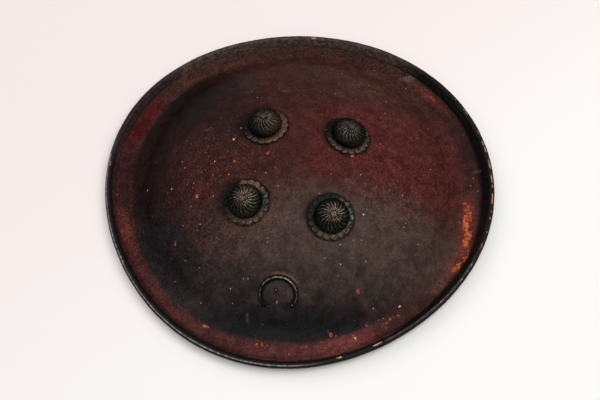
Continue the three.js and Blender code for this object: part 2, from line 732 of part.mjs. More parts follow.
// The crescent opens towards the rim, away from the bosses
const crescentOut = domeReach - CRESCENT_INSET;
const crescentSeat = seatOnDome(
  crescentOut * Math.cos(degrees(CRESCENT_BEARING)),
  crescentOut * Math.sin(degrees(CRESCENT_BEARING)),
  degrees(CRESCENT_TURN),
);
const tipAngle = degrees(CRESCENT_SPAN) / 2;
const tipPlaces = [-1, 1].map((hand) => crescentPlace(hand * tipAngle));
const centrePlace = [CENTRE_NAIL_ACROSS, CENTRE_NAIL_ALONG];
makeCrescent(crescentSeat, tipPlaces);
const padTop = 2 * SEAT_GAP + CRESCENT_PAD_HEIGHT;
makeNail(crescentSeat, "crescent_nail_left", ...tipPlaces[0], padTop);
makeNail(crescentSeat, "crescent_nail_right", ...tipPlaces[1], padTop);
makeNail(crescentSeat, "centre_nail", ...centrePlace, SEAT_GAP);
[...tipPlaces, centrePlace].forEach(([x, y]) =>
  hideHoles.push(drilledHole(crescentSeat, NAIL_SHANK + HOLE_PLAY, x, y)),
);
makeBowl(hideHoles);
makeBinding();

// The origin is at the middle of the outline, on the surface that the shield lies on
const outline = new THREE.Box3().setFromObject(shield);
const middle = outline.getCenter(new THREE.Vector3());
shield.position.set(-middle.x, -middle.y, 0);

export default shield;
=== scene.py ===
import math
from collections import namedtuple

import bpy
import numpy as np
from mathutils import Matrix, Vector, noise


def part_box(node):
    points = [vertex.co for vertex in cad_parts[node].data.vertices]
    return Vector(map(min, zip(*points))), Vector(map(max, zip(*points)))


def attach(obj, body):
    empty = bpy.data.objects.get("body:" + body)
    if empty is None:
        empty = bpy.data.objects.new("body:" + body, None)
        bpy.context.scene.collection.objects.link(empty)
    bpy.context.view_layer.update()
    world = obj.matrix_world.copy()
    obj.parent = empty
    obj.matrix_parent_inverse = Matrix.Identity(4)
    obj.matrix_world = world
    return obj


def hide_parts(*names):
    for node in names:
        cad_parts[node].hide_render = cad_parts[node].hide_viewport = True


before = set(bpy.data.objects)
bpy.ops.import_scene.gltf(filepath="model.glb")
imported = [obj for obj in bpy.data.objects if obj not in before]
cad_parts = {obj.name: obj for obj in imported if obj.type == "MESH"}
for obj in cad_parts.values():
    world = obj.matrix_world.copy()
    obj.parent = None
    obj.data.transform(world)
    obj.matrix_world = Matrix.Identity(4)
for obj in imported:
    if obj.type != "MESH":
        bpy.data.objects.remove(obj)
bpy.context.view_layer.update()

MM = 0.001
TURN = 2 * math.pi
QUARTER = math.pi / 2

# The camera of the photograph: how far round the shield it stands, its height and its distance
CAMERA_TURN = math.radians(11.8)
CAMERA_RISE = math.radians(61)
CAMERA_AWAY = 1.0
CAMERA_LENS = 49.9
CAMERA_SENSOR = 36
CAMERA_AIM = (6.8 * MM, -12.7 * MM, 0)

# Lamps: the way to each, how far off it is, its width, power and colour. Then room and table
LAMPS = {
    "key": ((0.503, 0.136, 0.855), 3.0, 1.9, 26, (1, 1, 1)),
    "top": ((0.06, -0.3, 0.95), 3.0, 1.6, 19, (1, 1, 1)),
    "fill": ((-0.59, 0.39, 0.7), 3.2, 2.0, 11, (1, 0.96, 0.95)),
}
ROOM_COLOUR = (1, 0.945, 0.935, 1)
ROOM_LOW, ROOM_HIGH = 0.12, 0.73
TABLE_HALF = 3.0
TABLE_LEFT = (0.92, 0.845, 0.84)
TABLE_RIGHT = (0.93, 0.94, 0.92)

# The hide bowl, as its solid has it. Its waves each have a height, a count and a bearing
HIDE = 4.6 * MM
DOME_RADIUS = 268 * MM
DOME_SLOPE = math.radians(42.5)
VALLEY_RADIUS = 37 * MM
REST_WIDTH = 5.5 * MM
LIP_RADIUS = 15 * MM
LIP_SLOPE = math.radians(55)
WARPS = ((3.4 * MM, 2, 15), (3.8 * MM, 3, 32), (1.1 * MM, 4, -12))
LIP_LIFT = 5 * MM
LIP_LIFT_AT = math.radians(32)

# Its fineness: steps on the dome, the bend and the lip, and the height, size and seed of its lumps
RIM_COUNT = 720
FACE_STEPS = (190, 26, 18)
UNDER_STEPS = (60, 12, 10)
EDGE_STEPS = 7
EDGE_BULGE = 0.35
HIDE_LUMPS = ((0.55 * MM, 45 * MM, 1), (0.14 * MM, 11 * MM, 2))
REST_CALM = 9 * MM

# The binding and its joint
BINDING_GAP = 0.3 * MM
BINDING_WALL = 1.2 * MM
BINDING_REACH = 8 * MM
BINDING_LEG = 9
BINDING_LUMPS = ((0.22 * MM, 26 * MM, 3), (0.1 * MM, 6 * MM, 4))
OUTER_FEATHER = 0.8 * MM
INNER_FEATHER = 0.15 * MM
JOINT_AT = math.radians(-53.33)
JOINT_GAP = 1.2 * MM

# Bosses
BOSS_CENTRE = (4.4 * MM, -19 * MM)
BOSS_ROW_PITCH = 95 * MM
BOSS_LEFT_PITCH = 97.5 * MM
BOSS_RIGHT_PITCH = 103.5 * MM
BOSS_TURN = math.radians(2.9)
BOSS_RADIUS = 19.6 * MM
BOSS_FOOT = 17.6 * MM
BOSS_BELLY = 4.5 * MM
BOSS_HEIGHT = 16 * MM
BOSS_WALL = 1.3 * MM
FLUTES = 20
FLUTE_SIDES = 18
FLUTE_DEPTH = 0.9 * MM
FLUTE_CURL = 0.55
CAP_STEPS = (36, 9, 12)
FLANGE_RADIUS = 26.4 * MM
FLANGE_THICKNESS = 1.2 * MM
FLANGE_EDGE = 0.25 * MM
PETALS = 18
PETAL_SIDES = 20
PETAL_STEPS = 17
PETAL_DEPTH = 2.4 * MM
PETAL_RISE = 0.3 * MM
PETAL_GROOVE = 0.3 * MM
PETAL_FALL = 0.2 * MM
PETAL_START = BOSS_FOOT + 0.7 * MM
SEAT_GAP = 0.3 * MM
HOLE_PLAY = 0.35 * MM

# Each boss: its column and row, where its crown is rubbed and has a painted highlight, in millimetres
# to the right and away, how much, and the bearing and width of the painted cast shadow beside its flange
Boss = namedtuple("Boss", "column row worn_at wear dirt_at dirt_width")
BOSSES = {
    "back_left": Boss(-1, 1, (3, 0), 0.66, 155, 15 * MM),
    "back_right": Boss(1, 1, (-2, -1), 0.56, 180, 3 * MM),
    "front_left": Boss(-1, -1, (3, 3), 1.0, 180, 9 * MM),
    "front_right": Boss(1, -1, (1, 3), 0.9, 180, 2 * MM),
}

# Half the patch of a crown that is rubbed and has a painted highlight, how far from it the cap's
# side begins, in millimetres, and the bearing of the flanges' painted light, with painted shade opposite
CROWN_SIZE, CAP_SIDE = (10, 9), 14
FLANGE_LIT_AT = math.radians(-40)

# Bolts, washers and rings
SHANK = 2.5 * MM
HOLE = SHANK + HOLE_PLAY
HEAD_RADIUS = 4.4 * MM
HEAD_HEIGHT = 1.9 * MM
HEAD_TIP = 0.2 * MM
HEAD_DENTS = 0.05
EYE_RADIUS = 5.3 * MM
EYE_WIRE = 1.9 * MM
WASHER_RADIUS = 9.5 * MM
WASHER_THICKNESS = 1.4 * MM
WASHER_EDGE = 0.3 * MM
WASHER_SIDES = 64
RING_RADIUS = 11.5 * MM
RING_WIRE = 1.65 * MM
RING_WEAR = 0.02

# Cushion
CUSHION_MARGIN = 17 * MM
CUSHION_CORNER = 5 * MM
CUSHION_CROWN = 14 * MM
CUSHION_EDGE = 3.2 * MM
CUSHION_SLACK = 1.2 * MM
CUSHION_STEPS = 41
CUSHION_REACH = 0.985
CUSHION_CLEAR = 0.9 * MM
SEAM_WIDTH = 0.8 * MM
CHANNEL_DEPTH = 2.6 * MM
CHANNEL_WIDTH = 3.4 * MM
CUSHION_DRAW = 0.06
CUSHION_ROUND = 0.07
STITCH_HEIGHT = 0.35 * MM
STITCH_STEP = 0.7 * MM
FOLDS_AT, FOLDS_WIDE, FOLDS = 15 * MM, 5 * MM, 11
DIMPLE_PLAY = 0.8 * MM
PIPING = 1.3 * MM
PIPING_DROP = 0.2 * MM
PIPING_STEPS, PIPING_SIDES = 61, 10
STUFFING_PRESSURE, STUFFING_FRAMES = 4, 20

# Grips
STRAP_WIDTH = 9 * MM
STRAP_STEPS, STRAP_SIDES = 130, 20
BAND = 1.8 * MM
LOOP_BORE = 3 * MM
GRIP_BOW = 6 * MM
SEWN_GAP = 0.1 * MM
STITCHES, STITCH_SPREAD = 4, 0.36
STITCH_AWAY = 6.3 * MM
STITCH_HALF = 0.8 * MM
STITCH_THREAD = 0.28 * MM
PAD_WIDTH = 22 * MM
PAD_DEPTH = 19 * MM
PAD_END = 0.62
PAD_CLEAR = 13.5 * MM
PAD_STEPS, SLEEVE_SIDES = 31, 32
PAD_SLACK, PAD_SHORT = 0.94, 0.97
PAD_GATHERED = 0.72
PAD_SEAM = 0.09
PAD_FOLDS = 13
PAD_FOLD_DEPTH = 0.07
PAD_STITCH_STEP = 0.55 * MM
TIE_LENGTH = 5.5 * MM
TIE_WIDE = 9.05 * MM
TIE_DEEP = 5.5 * MM
TIE_PLAY = 0.8 * MM
TIE_TURNS = 8
TIE_STEPS = 40
THREAD = 0.36 * MM

# Crescent and nails
CRESCENT_INSET = 25.6 * MM
CRESCENT_BEARING = math.radians(-85.9)
CRESCENT_TURN = math.radians(11.8)
CRESCENT_RADIUS = 19.5 * MM
CRESCENT_FLAT = 0.96
CRESCENT_HALF = math.radians(127)
CRESCENT_WIDTH = 5 * MM
CRESCENT_HEIGHT = 3 * MM
CRESCENT_TIP = 0.45
CRESCENT_STEPS = 120
ARCH_STEPS, BASE_STEPS = 15, 3
HORN = 6 * MM
HORN_SHARE = 0.16
NAIL_PAD = 2.9 * MM
NAIL_PAD_HEIGHT = 1.5 * MM
NAIL_SHANK = 1.1 * MM
NAIL_HEAD = 2.3 * MM
NAIL_HEIGHT = 1.3 * MM
NAIL_CLENCH = 1.2 * MM
NAIL_SIDES, NAIL_DENTS = 40, 0.02
CENTRE_NAIL = (-2.3 * MM, 5 * MM)

dome_reach = DOME_RADIUS * math.sin(DOME_SLOPE)
bend_centre = (DOME_RADIUS + VALLEY_RADIUS) * math.sin(DOME_SLOPE)
bend_height = HIDE + VALLEY_RADIUS
dome_centre_z = bend_height - (DOME_RADIUS + VALLEY_RADIUS) * math.cos(DOME_SLOPE)
lip_start = bend_centre + REST_WIDTH
lip_middle = LIP_RADIUS + HIDE / 2
edge_radius = lip_start + lip_middle * math.sin(LIP_SLOPE)


def smoothstep(x, low, high):
    t = np.clip((x - low) / (high - low), 0, 1)
    return t * t * (3 - 2 * t)


def bell(x, at, wide):
    """1 where x is at a value, falling off to both sides of it."""
    return np.exp(-(((x - at) / wide) ** 2))


def round_steps(count):
    """The angles of a whole turn in even steps."""
    return np.linspace(0, TURN, count, endpoint=False)


def unit(vectors):
    return vectors / np.linalg.norm(vectors, axis=-1, keepdims=True)


def dome_fall(x, y):
    """How far the dome's face has fallen away below a flat piece, at a place on that piece."""
    return (x * x + y * y) / (2 * DOME_RADIUS)


# The warped hide

def warped(radius, z, angle):
    """Takes points of the unwarped profile to their places, as arrays of x, y and z."""
    swing = sum(size * np.cos(waves * (angle - math.radians(at))) for size, waves, at in WARPS)
    into = smoothstep(radius, dome_reach, bend_centre)
    out = radius * (1 + swing / edge_radius * into)
    up_lip = np.maximum(0, radius - lip_start) / (edge_radius - lip_start)
    lift = LIP_LIFT * (1 + np.cos(angle - LIP_LIFT_AT)) / 2
    return np.stack([out * np.cos(angle), out * np.sin(angle), z + up_lip * lift], axis=-1)


def lip_point(depth, angle):
    return (
        lip_start + (LIP_RADIUS + depth) * np.sin(angle),
        HIDE + LIP_RADIUS - (LIP_RADIUS + depth) * np.cos(angle),
    )


def hide_profile(depth, steps):
    """The bowl's profile at a depth below its face, from beside the crown to the lip's edge."""
    dome = np.linspace(0, DOME_SLOPE, steps[0] + 1)[1:]
    bend = np.linspace(DOME_SLOPE, 0, steps[1] + 1)[1:]
    lip_r, lip_z = lip_point(depth, np.linspace(0, LIP_SLOPE, steps[2] + 1))
    on_dome, on_bend = DOME_RADIUS - depth, VALLEY_RADIUS + depth
    r = [on_dome * np.sin(dome), bend_centre - on_bend * np.sin(bend), lip_r]
    z = [dome_centre_z + on_dome * np.cos(dome), bend_height - on_bend * np.cos(bend), lip_z]
    return np.concatenate(r), np.concatenate(z)


rim_angles = round_steps(RIM_COUNT)
outline = warped(*lip_point(HIDE / 2, LIP_SLOPE), rim_angles)
ORIGIN = np.array([*(-(outline.min(0) + outline.max(0)) / 2)[:2], 0])


# Meshes

def new_object(name, data):
    thing = bpy.data.objects.new(name, data)
    bpy.context.scene.collection.objects.link(thing)
    return thing


def closed_object(name, shape):
    points, faces = shape
    mesh = bpy.data.meshes.new(name)
    mesh.from_pydata([tuple(p) for p in points], [], outward(points, faces))
    return new_object(name, mesh)


def mesh_object(name, shape, body, slot, node=None, **marks):
    """A piece of the model: marks are numbers on its points, which its material reads."""
    piece = closed_object(name, shape)
    piece.data.validate()
    finish_piece(piece, body, slot, node, marks)


def finish_piece(piece, body, slot, node, marks):
    """Gives a piece its material from its slot and its marks, puts it under its body, and hides the node
    it stands for.
    """
    piece.data.materials.clear()
    piece.data.materials.append(materials[slot])
    for polygon in piece.data.polygons:
        polygon.use_smooth = True
    for mark, values in marks.items():
        values = np.asarray(values, np.float32)
        wide = values.ndim > 1
        attribute = piece.data.attributes.new(mark, "FLOAT_COLOR" if wide else "FLOAT", "POINT")
        attribute.data.foreach_set("color" if wide else "value", values.ravel())
    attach(piece, body)
    if node:
        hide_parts(node)


def outward(points, faces):
    """Flips the faces if the closed surface has them pointing in."""
    points = np.asarray(points)
    corners = np.array([[f[0], f[1], f[2]] for f in faces] + [[f[0], f[2], f[-1]] for f in faces])
    a, b, c = (points[corners[:, i]] for i in range(3))
    volume = np.einsum("ij,ij->i", a, np.cross(b, c)).sum()
    return [f[::-1] for f in faces] if volume < 0 else faces


def rows_faces(rows, count, looped=False):
    """Faces between closed rows of points, and from the last row to the first if looped."""
    faces = []
    for k in range(rows if looped else rows - 1):
        first, second = k * count, (k + 1) % rows * count
        for i in range(count):
            j = (i + 1) % count
            faces.append((first + i, second + i, second + j, first + j))
    return faces


def pole_faces(pole, row, count, flip=False):
    faces = [(pole, row + i, row + (i + 1) % count) for i in range(count)]
    return [f[::-1] for f in faces] if flip else faces


def capped(rows, ends=None):
    """Points and faces of rows round an axis, closed by a point at each end."""
    rows = np.asarray(rows)
    count = rows.shape[1]
    points = rows.reshape(-1, 3)
    if ends is None:
        ends = [rows[0].mean(0), rows[-1].mean(0)]
    faces = rows_faces(len(rows), count)
    faces += pole_faces(len(points), 0, count, flip=True)
    faces += pole_faces(len(points) + 1, (len(rows) - 1) * count, count)
    return np.vstack([points, *ends]), faces


def looped(rows):
    """Points and faces of rows whose last one joins the first, such as a ring."""
    rows = np.asarray(rows)
    return rows.reshape(-1, 3), rows_faces(len(rows), rows.shape[1], looped=True)


def joined(*shapes):
    """Several closed shapes as one."""
    points, faces, start = [], [], 0
    for shape_points, shape_faces in shapes:
        shape_faces = outward(shape_points, shape_faces)
        faces += [tuple(start + i for i in face) for face in shape_faces]
        points.append(shape_points)
        start += len(shape_points)
    return np.vstack(points), faces


def through(points, matrix):
    m = np.array(matrix)
    return np.asarray(points) @ m[:3, :3].T + m[:3, 3]


def moved(shape, matrix):
    points, faces = shape
    return through(points, matrix), faces


def rings(radii, heights, count):
    """Round rows about Z. A radius or height may itself be a row of numbers."""
    a = round_steps(count)
    rows = []
    for r, z in zip(radii, heights):
        r, z = np.broadcast_to(r, count), np.broadcast_to(z, count)
        rows.append(np.stack([r * np.cos(a), r * np.sin(a), z], axis=-1))
    return np.array(rows)


def torus(radius, wire, steps=72, sides=18):
    """A ring round Z."""
    around, about = round_steps(steps)[:, None], round_steps(sides)[None, :]
    out = radius + wire * np.cos(about)
    height = np.broadcast_to(wire * np.sin(about), (steps, sides))
    return looped(np.stack([out * np.cos(around), out * np.sin(around), height], axis=-1))


def tangents(line):
    """The direction at each point of a line that closes on itself."""
    return unit(np.roll(line, -1, axis=0) - np.roll(line, 1, axis=0))


def tube(line, radius, sides=6, closed=False):
    """A round cord along a line of points, none of which runs along the vector named here."""
    sideways = [0.31, 0.17, 0.93]
    line = np.asarray(line)
    around = round_steps(sides)
    along = tangents(line) if closed else unit(np.gradient(line, axis=0))
    side = unit(np.cross(along, sideways))
    up = np.cross(along, side)
    rows = line[:, None] + radius * (
        side[:, None] * np.cos(around)[None, :, None] + up[:, None] * np.sin(around)[None, :, None]
    )
    return looped(rows) if closed else capped(rows)


def lathe(line, count=48, dents=0.0, seed=0):
    """A turned solid from its line of radius and height, with the dents of the hammer."""
    points, faces = capped(rings([r for r, _ in line], [z for _, z in line], count))
    if dents:
        points = points * (1 + dents * fbm(points, 2 * MM, 2, seed))[:, None]
    return points, faces


def fbm(points, size, octaves, seed):
    """Smooth noise of features of one size, about -1 to 1, at each point."""
    shift = Vector((seed * 7.3, seed * 3.1, seed * 5.7))
    return np.array(
        [noise.fractal(Vector(p) / size + shift, 0.8, 2.1, octaves) for p in points]
    )


def lumps(points, table):
    """Unevenness, from a table of height, size and seed."""
    return sum(height * fbm(points, size, 2, seed) for height, size, seed in table)


def grid_normals(rows):
    """Normals of rows that run round an axis, pointing off the face."""
    along = np.gradient(rows, axis=0)
    around = np.roll(rows, -1, axis=1) - np.roll(rows, 1, axis=1)
    normals = np.cross(along, around)
    length = np.linalg.norm(normals, axis=-1, keepdims=True)
    return normals / np.maximum(length, 1e-12)


# Materials

class Nodes:
    """A node tree, built by calls that return the socket to link on."""

    def __init__(self, tree):
        self.tree = tree

    def add(self, kind, **settings):
        node = self.tree.nodes.new(kind)
        for key, value in settings.items():
            setattr(node, key, value)
        return node

    def feed(self, socket, value):
        if isinstance(value, bpy.types.NodeSocket):
            self.tree.links.new(value, socket)
        else:
            socket.default_value = value

    def parts(self, value, kind="Color"):
        """The three numbers of a colour, or of a place."""
        node = self.add("ShaderNodeSeparate" + kind)
        self.feed(node.inputs[0], value)
        return node.outputs

    def step(self, value, low, high, out_low=0.0, out_high=1.0):
        node = self.add("ShaderNodeMapRange", interpolation_type="SMOOTHSTEP")
        for key, item in zip(
            ("Value", "From Min", "From Max", "To Min", "To Max"),
            (value, low, high, out_low, out_high),
        ):
            self.feed(node.inputs[key], item)
        return node.outputs["Result"]

    def math(self, operation, a, b, clamp=False):
        node = self.add("ShaderNodeMath", operation=operation, use_clamp=clamp)
        self.feed(node.inputs[0], a)
        self.feed(node.inputs[1], b)
        return node.outputs[0]


class Shader(Nodes):
    """A material, whose colour is laid on coat by coat."""

    def __init__(self, name):
        self.material = bpy.data.materials.new(name)
        self.material.use_nodes = True
        super().__init__(self.material.node_tree)
        self.surface = self.tree.nodes["Principled BSDF"]
        self.place = self.add("ShaderNodeTexCoord").outputs["Object"]
        self.colour = None

    def set(self, **inputs):
        for key, value in inputs.items():
            self.feed(self.surface.inputs[key.replace("_", " ")], value)

    def finish(self, **inputs):
        self.set(Base_Color=self.colour, **inputs)
        return self.material

    def mark(self, name, out="Fac"):
        return self.add("ShaderNodeAttribute", attribute_name=name).outputs[out]

    def noise(self, size, detail, rough, stretch=None):
        node = self.add("ShaderNodeTexNoise")
        self.feed(node.inputs["Vector"], self.stretched(stretch))
        node.inputs["Scale"].default_value = 1 / size
        node.inputs["Detail"].default_value = detail
        node.inputs["Roughness"].default_value = rough
        return node.outputs["Fac"]

    def cells(self, size, feature="F1", out="Distance", jitter=1.0):
        node = self.add("ShaderNodeTexVoronoi", feature=feature)
        self.feed(node.inputs["Vector"], self.place)
        node.inputs["Scale"].default_value = 1 / size
        node.inputs["Randomness"].default_value = jitter
        return node.outputs[out]

    def stretched(self, stretch):
        if stretch is None:
            return self.place
        node = self.add("ShaderNodeMapping")
        self.feed(node.inputs["Vector"], self.place)
        node.inputs["Scale"].default_value = stretch
        return node.outputs["Vector"]

    def times(self, a, b):
        return self.math("MULTIPLY", a, b)

    def plus(self, a, b, clamp=False):
        return self.math("ADD", a, b, clamp)

    def less(self, a, b):
        return self.math("SUBTRACT", a, b)

    def mix(self, amount, a, b):
        node = self.add("ShaderNodeMix", data_type="RGBA")
        self.feed(node.inputs[0], amount)
        for socket, value in ((node.inputs[6], a), (node.inputs[7], b)):
            self.feed(socket, (*value, 1) if isinstance(value, tuple) else value)
        return node.outputs[2]

    def paint(self, amount, colour):
        self.colour = self.mix(amount, self.colour, colour)

    def shade(self, amount):
        node = self.add("ShaderNodeVectorMath", operation="SCALE")
        self.feed(node.inputs[0], self.colour)
        self.feed(node.inputs["Scale"], amount)
        self.colour = node.outputs[0]

    def bump(self, height, depth, strength, after=None):
        node = self.add("ShaderNodeBump")
        node.inputs["Strength"].default_value = strength
        node.inputs["Distance"].default_value = depth
        self.feed(node.inputs["Height"], height)
        if after is not None:
            self.feed(node.inputs["Normal"], after)
        return node.outputs["Normal"]

    def chips(self, mark, size=3 * MM):
        """Flakes that come where a mark says so: none where it is 0, nearly all over where 1."""
        coarse = self.noise(3 * size, 4.0, 0.6, stretch=(1.6, 1, 1))
        grain = self.plus(self.times(coarse, 0.55), self.times(self.noise(size, 4.0, 0.65), 0.45))
        level = self.step(self.mark(mark), 0.0, 1.0, 0.8, 0.36)
        return self.step(grain, level, self.plus(level, 0.03))

    def specks(self, size, radius_share, share):
        """Round dots, one in some of the cells of a given size, each of its own strength."""
        near = self.step(self.cells(size), radius_share, radius_share * 0.6)
        picked = self.parts(self.cells(size, out="Color"))[0]
        return self.times(near, self.step(picked, 1 - share, 1))


# What shows on the lacquer: grit, dots, old gold, scuffs, the red ground and raw hide
GRIT = (0.28, 0.07, 0.05)
DOT = (0.62, 0.2, 0.12)
SMALL_DOT = (0.5, 0.18, 0.11)
OLD_GOLD = (0.15, 0.075, 0.03)
SCUFFED = (0.19, 0.125, 0.11)
GROUND_RED, GROUND_ORANGE = (0.25, 0.02, 0.01), (0.52, 0.15, 0.07)
RAW_HIDE = (0.66, 0.4, 0.27)


def lacquer_material():
    """Old lacquer: each place has its tone, mottled and grained, with flakes down to the ground."""
    s = Shader("lacquered_hide")
    mottle = s.noise(12 * MM, 5.0, 0.7)
    fine = s.noise(2.2 * MM, 5.0, 0.8)
    grains = s.step(s.parts(s.cells(1.7 * MM, out="Color"))[1], 0.0, 1.0, 0.7, 1.3)
    uneven = s.times(s.step(fine, 0.34, 0.68, 0.4, 1.6), grains)
    grain, lit = s.mark("grain"), s.mark("lit")
    s.colour = s.mark("tone", "Color")
    s.shade(s.step(mottle, 0.34, 0.66, 0.66, 1.3))
    s.shade(s.step(grain, 0.0, 1.0, 1.0, uneven))
    patchy = s.times(s.times(lit, s.step(mottle, 0.4, 0.6, 0.25, 1.0)), grain)
    s.paint(s.times(s.specks(3.2 * MM, 0.22, 0.5), patchy), GRIT)
    s.paint(s.times(s.specks(9 * MM, 0.1, 0.6), s.step(lit, 0.0, 0.6, 0.25, 1.0)), DOT)
    s.paint(s.times(s.specks(5.2 * MM, 0.14, 0.75), s.mark("dotted")), SMALL_DOT)
    s.paint(s.times(s.mark("gilt"), s.step(s.noise(2.6 * MM, 3.0, 0.7), 0.47, 0.6)), OLD_GOLD)
    s.paint(s.times(s.mark("scuff"), s.step(fine, 0.36, 0.62)), SCUFFED)
    worn = s.times(s.chips("worn"), s.step(s.noise(1.3 * MM, 3.0, 0.7), 0.35, 0.43))
    orange = s.step(s.noise(3.4 * MM, 5.0, 0.75), 0.4, 0.62)
    s.paint(worn, s.mix(orange, GROUND_RED, GROUND_ORANGE))
    s.paint(s.chips("raw", 2 * MM), RAW_HIDE)
    rough = s.step(s.noise(6 * MM, 5.0, 0.7), 0.3, 0.7, 0.42, 0.6)
    crazing = s.step(s.cells(2.6 * MM, "DISTANCE_TO_EDGE"), 0.0, 0.09)
    height = s.less(s.plus(s.times(crazing, 0.35), fine), s.times(worn, 1.4))
    dents = s.bump(s.noise(18 * MM, 3.0, 0.5), 1.2 * MM, 0.5)
    return s.finish(
        Roughness=s.plus(rough, s.times(worn, 0.25), clamp=True),
        Specular_IOR_Level=0.06,
        Normal=s.bump(height, 0.4 * MM, 0.6, dents),
    )


def binding_material():
    """The folded strip: each place has its tone, painted highlight lines among them, rubbed tan on its
    edge and pale at its joint.
    """
    s = Shader("binding_hide")
    fine = s.noise(2 * MM, 4.0, 0.75)
    s.colour = s.mark("tone", "Color")
    s.shade(s.step(s.noise(5 * MM, 4.0, 0.65), 0.38, 0.62, 0.55, 1.35))
    s.shade(s.step(fine, 0.35, 0.68, 0.65, 1.4))
    worn, raw = s.chips("worn", 2.5 * MM), s.chips("raw", 2 * MM)
    s.paint(worn, s.mix(s.step(fine, 0.4, 0.6), (0.42, 0.1, 0.05), (0.5, 0.27, 0.15)))
    s.paint(raw, (0.6, 0.4, 0.18))
    dents = s.bump(s.noise(12 * MM, 3.0, 0.6), 0.8 * MM, 0.5)
    return s.finish(
        Roughness=s.step(fine, 0.3, 0.7, 0.36, 0.56),
        Specular_IOR_Level=0.15,
        Normal=s.bump(s.less(fine, s.plus(worn, raw)), 0.3 * MM, 0.5, dents),
    )


def iron_material(name, dark, light, polish, rust):
    """Old iron: dark in its hollows, lighter on its ridges, partly rubbed and partly a painted highlight,
    with brown and gold patches.
    """
    s = Shader(name)
    fine = s.noise(1.1 * MM, 4.0, 0.65)
    s.colour = s.mix(s.step(fine, 0.35, 0.7), dark, tuple(2.2 * c for c in dark))
    blotched = s.step(s.noise(3.2 * MM, 4.0, 0.75), 0.4, 0.6, 0.05, 1.2)
    s.paint(s.times(s.mark("ridge"), s.times(blotched, s.step(fine, 0.36, 0.6, 0.3, 1.2))), light)
    s.paint(s.times(s.step(s.noise(7 * MM, 5.0, 0.65), 0.5, 0.68), rust), (0.11, 0.065, 0.03))
    s.paint(s.times(s.mark("gilt"), s.step(fine, 0.4, 0.62)), (0.26, 0.122, 0.075))
    return s.finish(
        Metallic=0.8,
        Specular_IOR_Level=0.1,
        Specular_Tint=(0.2, 0.2, 0.22, 1),
        Roughness=s.step(fine, 0.3, 0.7, polish, polish + 0.22),
        Normal=s.bump(fine, 0.2 * MM, 0.6),
    )


def cloth_material(name, base, light):
    """Worn velvet: its nap is rubbed lighter in places and dark along its seams, with painted shade in
    the hollows of gathered folds.
    """
    s = Shader(name)
    nap = s.noise(1.2 * MM, 4.0, 0.7)
    s.colour = s.mix(s.step(s.noise(16 * MM, 4.0, 0.6), 0.35, 0.65), base, light)
    s.paint(s.step(nap, 0.55, 0.75, 0.0, 0.6), tuple(1.6 * c for c in light))
    s.paint(s.mark("seam"), tuple(0.35 * c for c in base))
    threads = s.cells(0.9 * MM, jitter=0.35)
    return s.finish(
        Roughness=0.85,
        Sheen_Weight=0.35,
        Sheen_Roughness=0.4,
        Normal=s.bump(s.plus(nap, s.times(threads, 0.5)), 0.5 * MM, 0.7),
    )


def leather_material():
    s = Shader("strap_leather")
    grain = s.step(s.cells(1.4 * MM, "DISTANCE_TO_EDGE"), 0.0, 0.14)
    crease = s.noise(7 * MM, 4.0, 0.6, stretch=(1, 3, 1))
    s.colour = s.mix(s.step(crease, 0.35, 0.65), (0.035, 0.016, 0.009), (0.11, 0.052, 0.026))
    s.paint(s.mark("ridge"), (0.2, 0.11, 0.06))
    return s.finish(
        Roughness=s.step(crease, 0.3, 0.7, 0.5, 0.72),
        Normal=s.bump(s.plus(grain, crease), 0.3 * MM, 0.6),
    )


def thread_material():
    s = Shader("binding_thread")
    fine = s.noise(0.8 * MM, 3.0, 0.6, stretch=(1, 4, 1))
    s.colour = s.mix(s.step(fine, 0.35, 0.65), (0.16, 0.11, 0.05), (0.36, 0.27, 0.14))
    return s.finish(Roughness=0.8, Normal=s.bump(fine, 0.2 * MM, 0.6))


# Each slot of the record and its material
materials = {
    "lacquered_hide": lacquer_material(),
    "binding_hide": binding_material(),
    "boss_iron": iron_material(
        "boss_iron", (0.004, 0.006, 0.005), (0.40, 0.355, 0.30), 0.38, 0.06
    ),
    "ring_iron": iron_material("ring_iron", (0.02, 0.019, 0.018), (0.2, 0.19, 0.17), 0.3, 0.25),
    "cushion_cloth": cloth_material("cushion_cloth", (0.07, 0.009, 0.011), (0.16, 0.032, 0.03)),
    "grip_cloth": cloth_material("grip_cloth", (0.055, 0.008, 0.01), (0.13, 0.028, 0.026)),
    "strap_leather": leather_material(),
    "binding_thread": thread_material(),
}


# The hide's tones and marks. Places are in millimetres to the right and away, as photographed,
# or a radius in millimetres and a bearing in degrees from the right.
MAROON = (0.046, 0.0145, 0.012)
# The warm red below is partly painted light, the umber a painted sheen and the soot partly painted shade
WARM_LIT = (0.078, 0.0165, 0.0145)
TAWNY = (0.056, 0.022, 0.016)
SHEEN_UMBER = (0.062, 0.0405, 0.034)
MOSS = (0.024, 0.0215, 0.0195)
DUN = (0.033, 0.027, 0.023)
SOOT_AND_SHADE = (0.0095, 0.0042, 0.0038)
SLATE = (0.0098, 0.0102, 0.0115)
ASH = (0.062, 0.038, 0.031)
BLACK = (0.005, 0.0045, 0.0042)
INSIDE = (0.030, 0.016, 0.012)
VALLEY_RED = (0.042, 0.016, 0.013)
RUSTY = (0.115, 0.027, 0.017)
ARC_GOLD = (0.16, 0.085, 0.048)

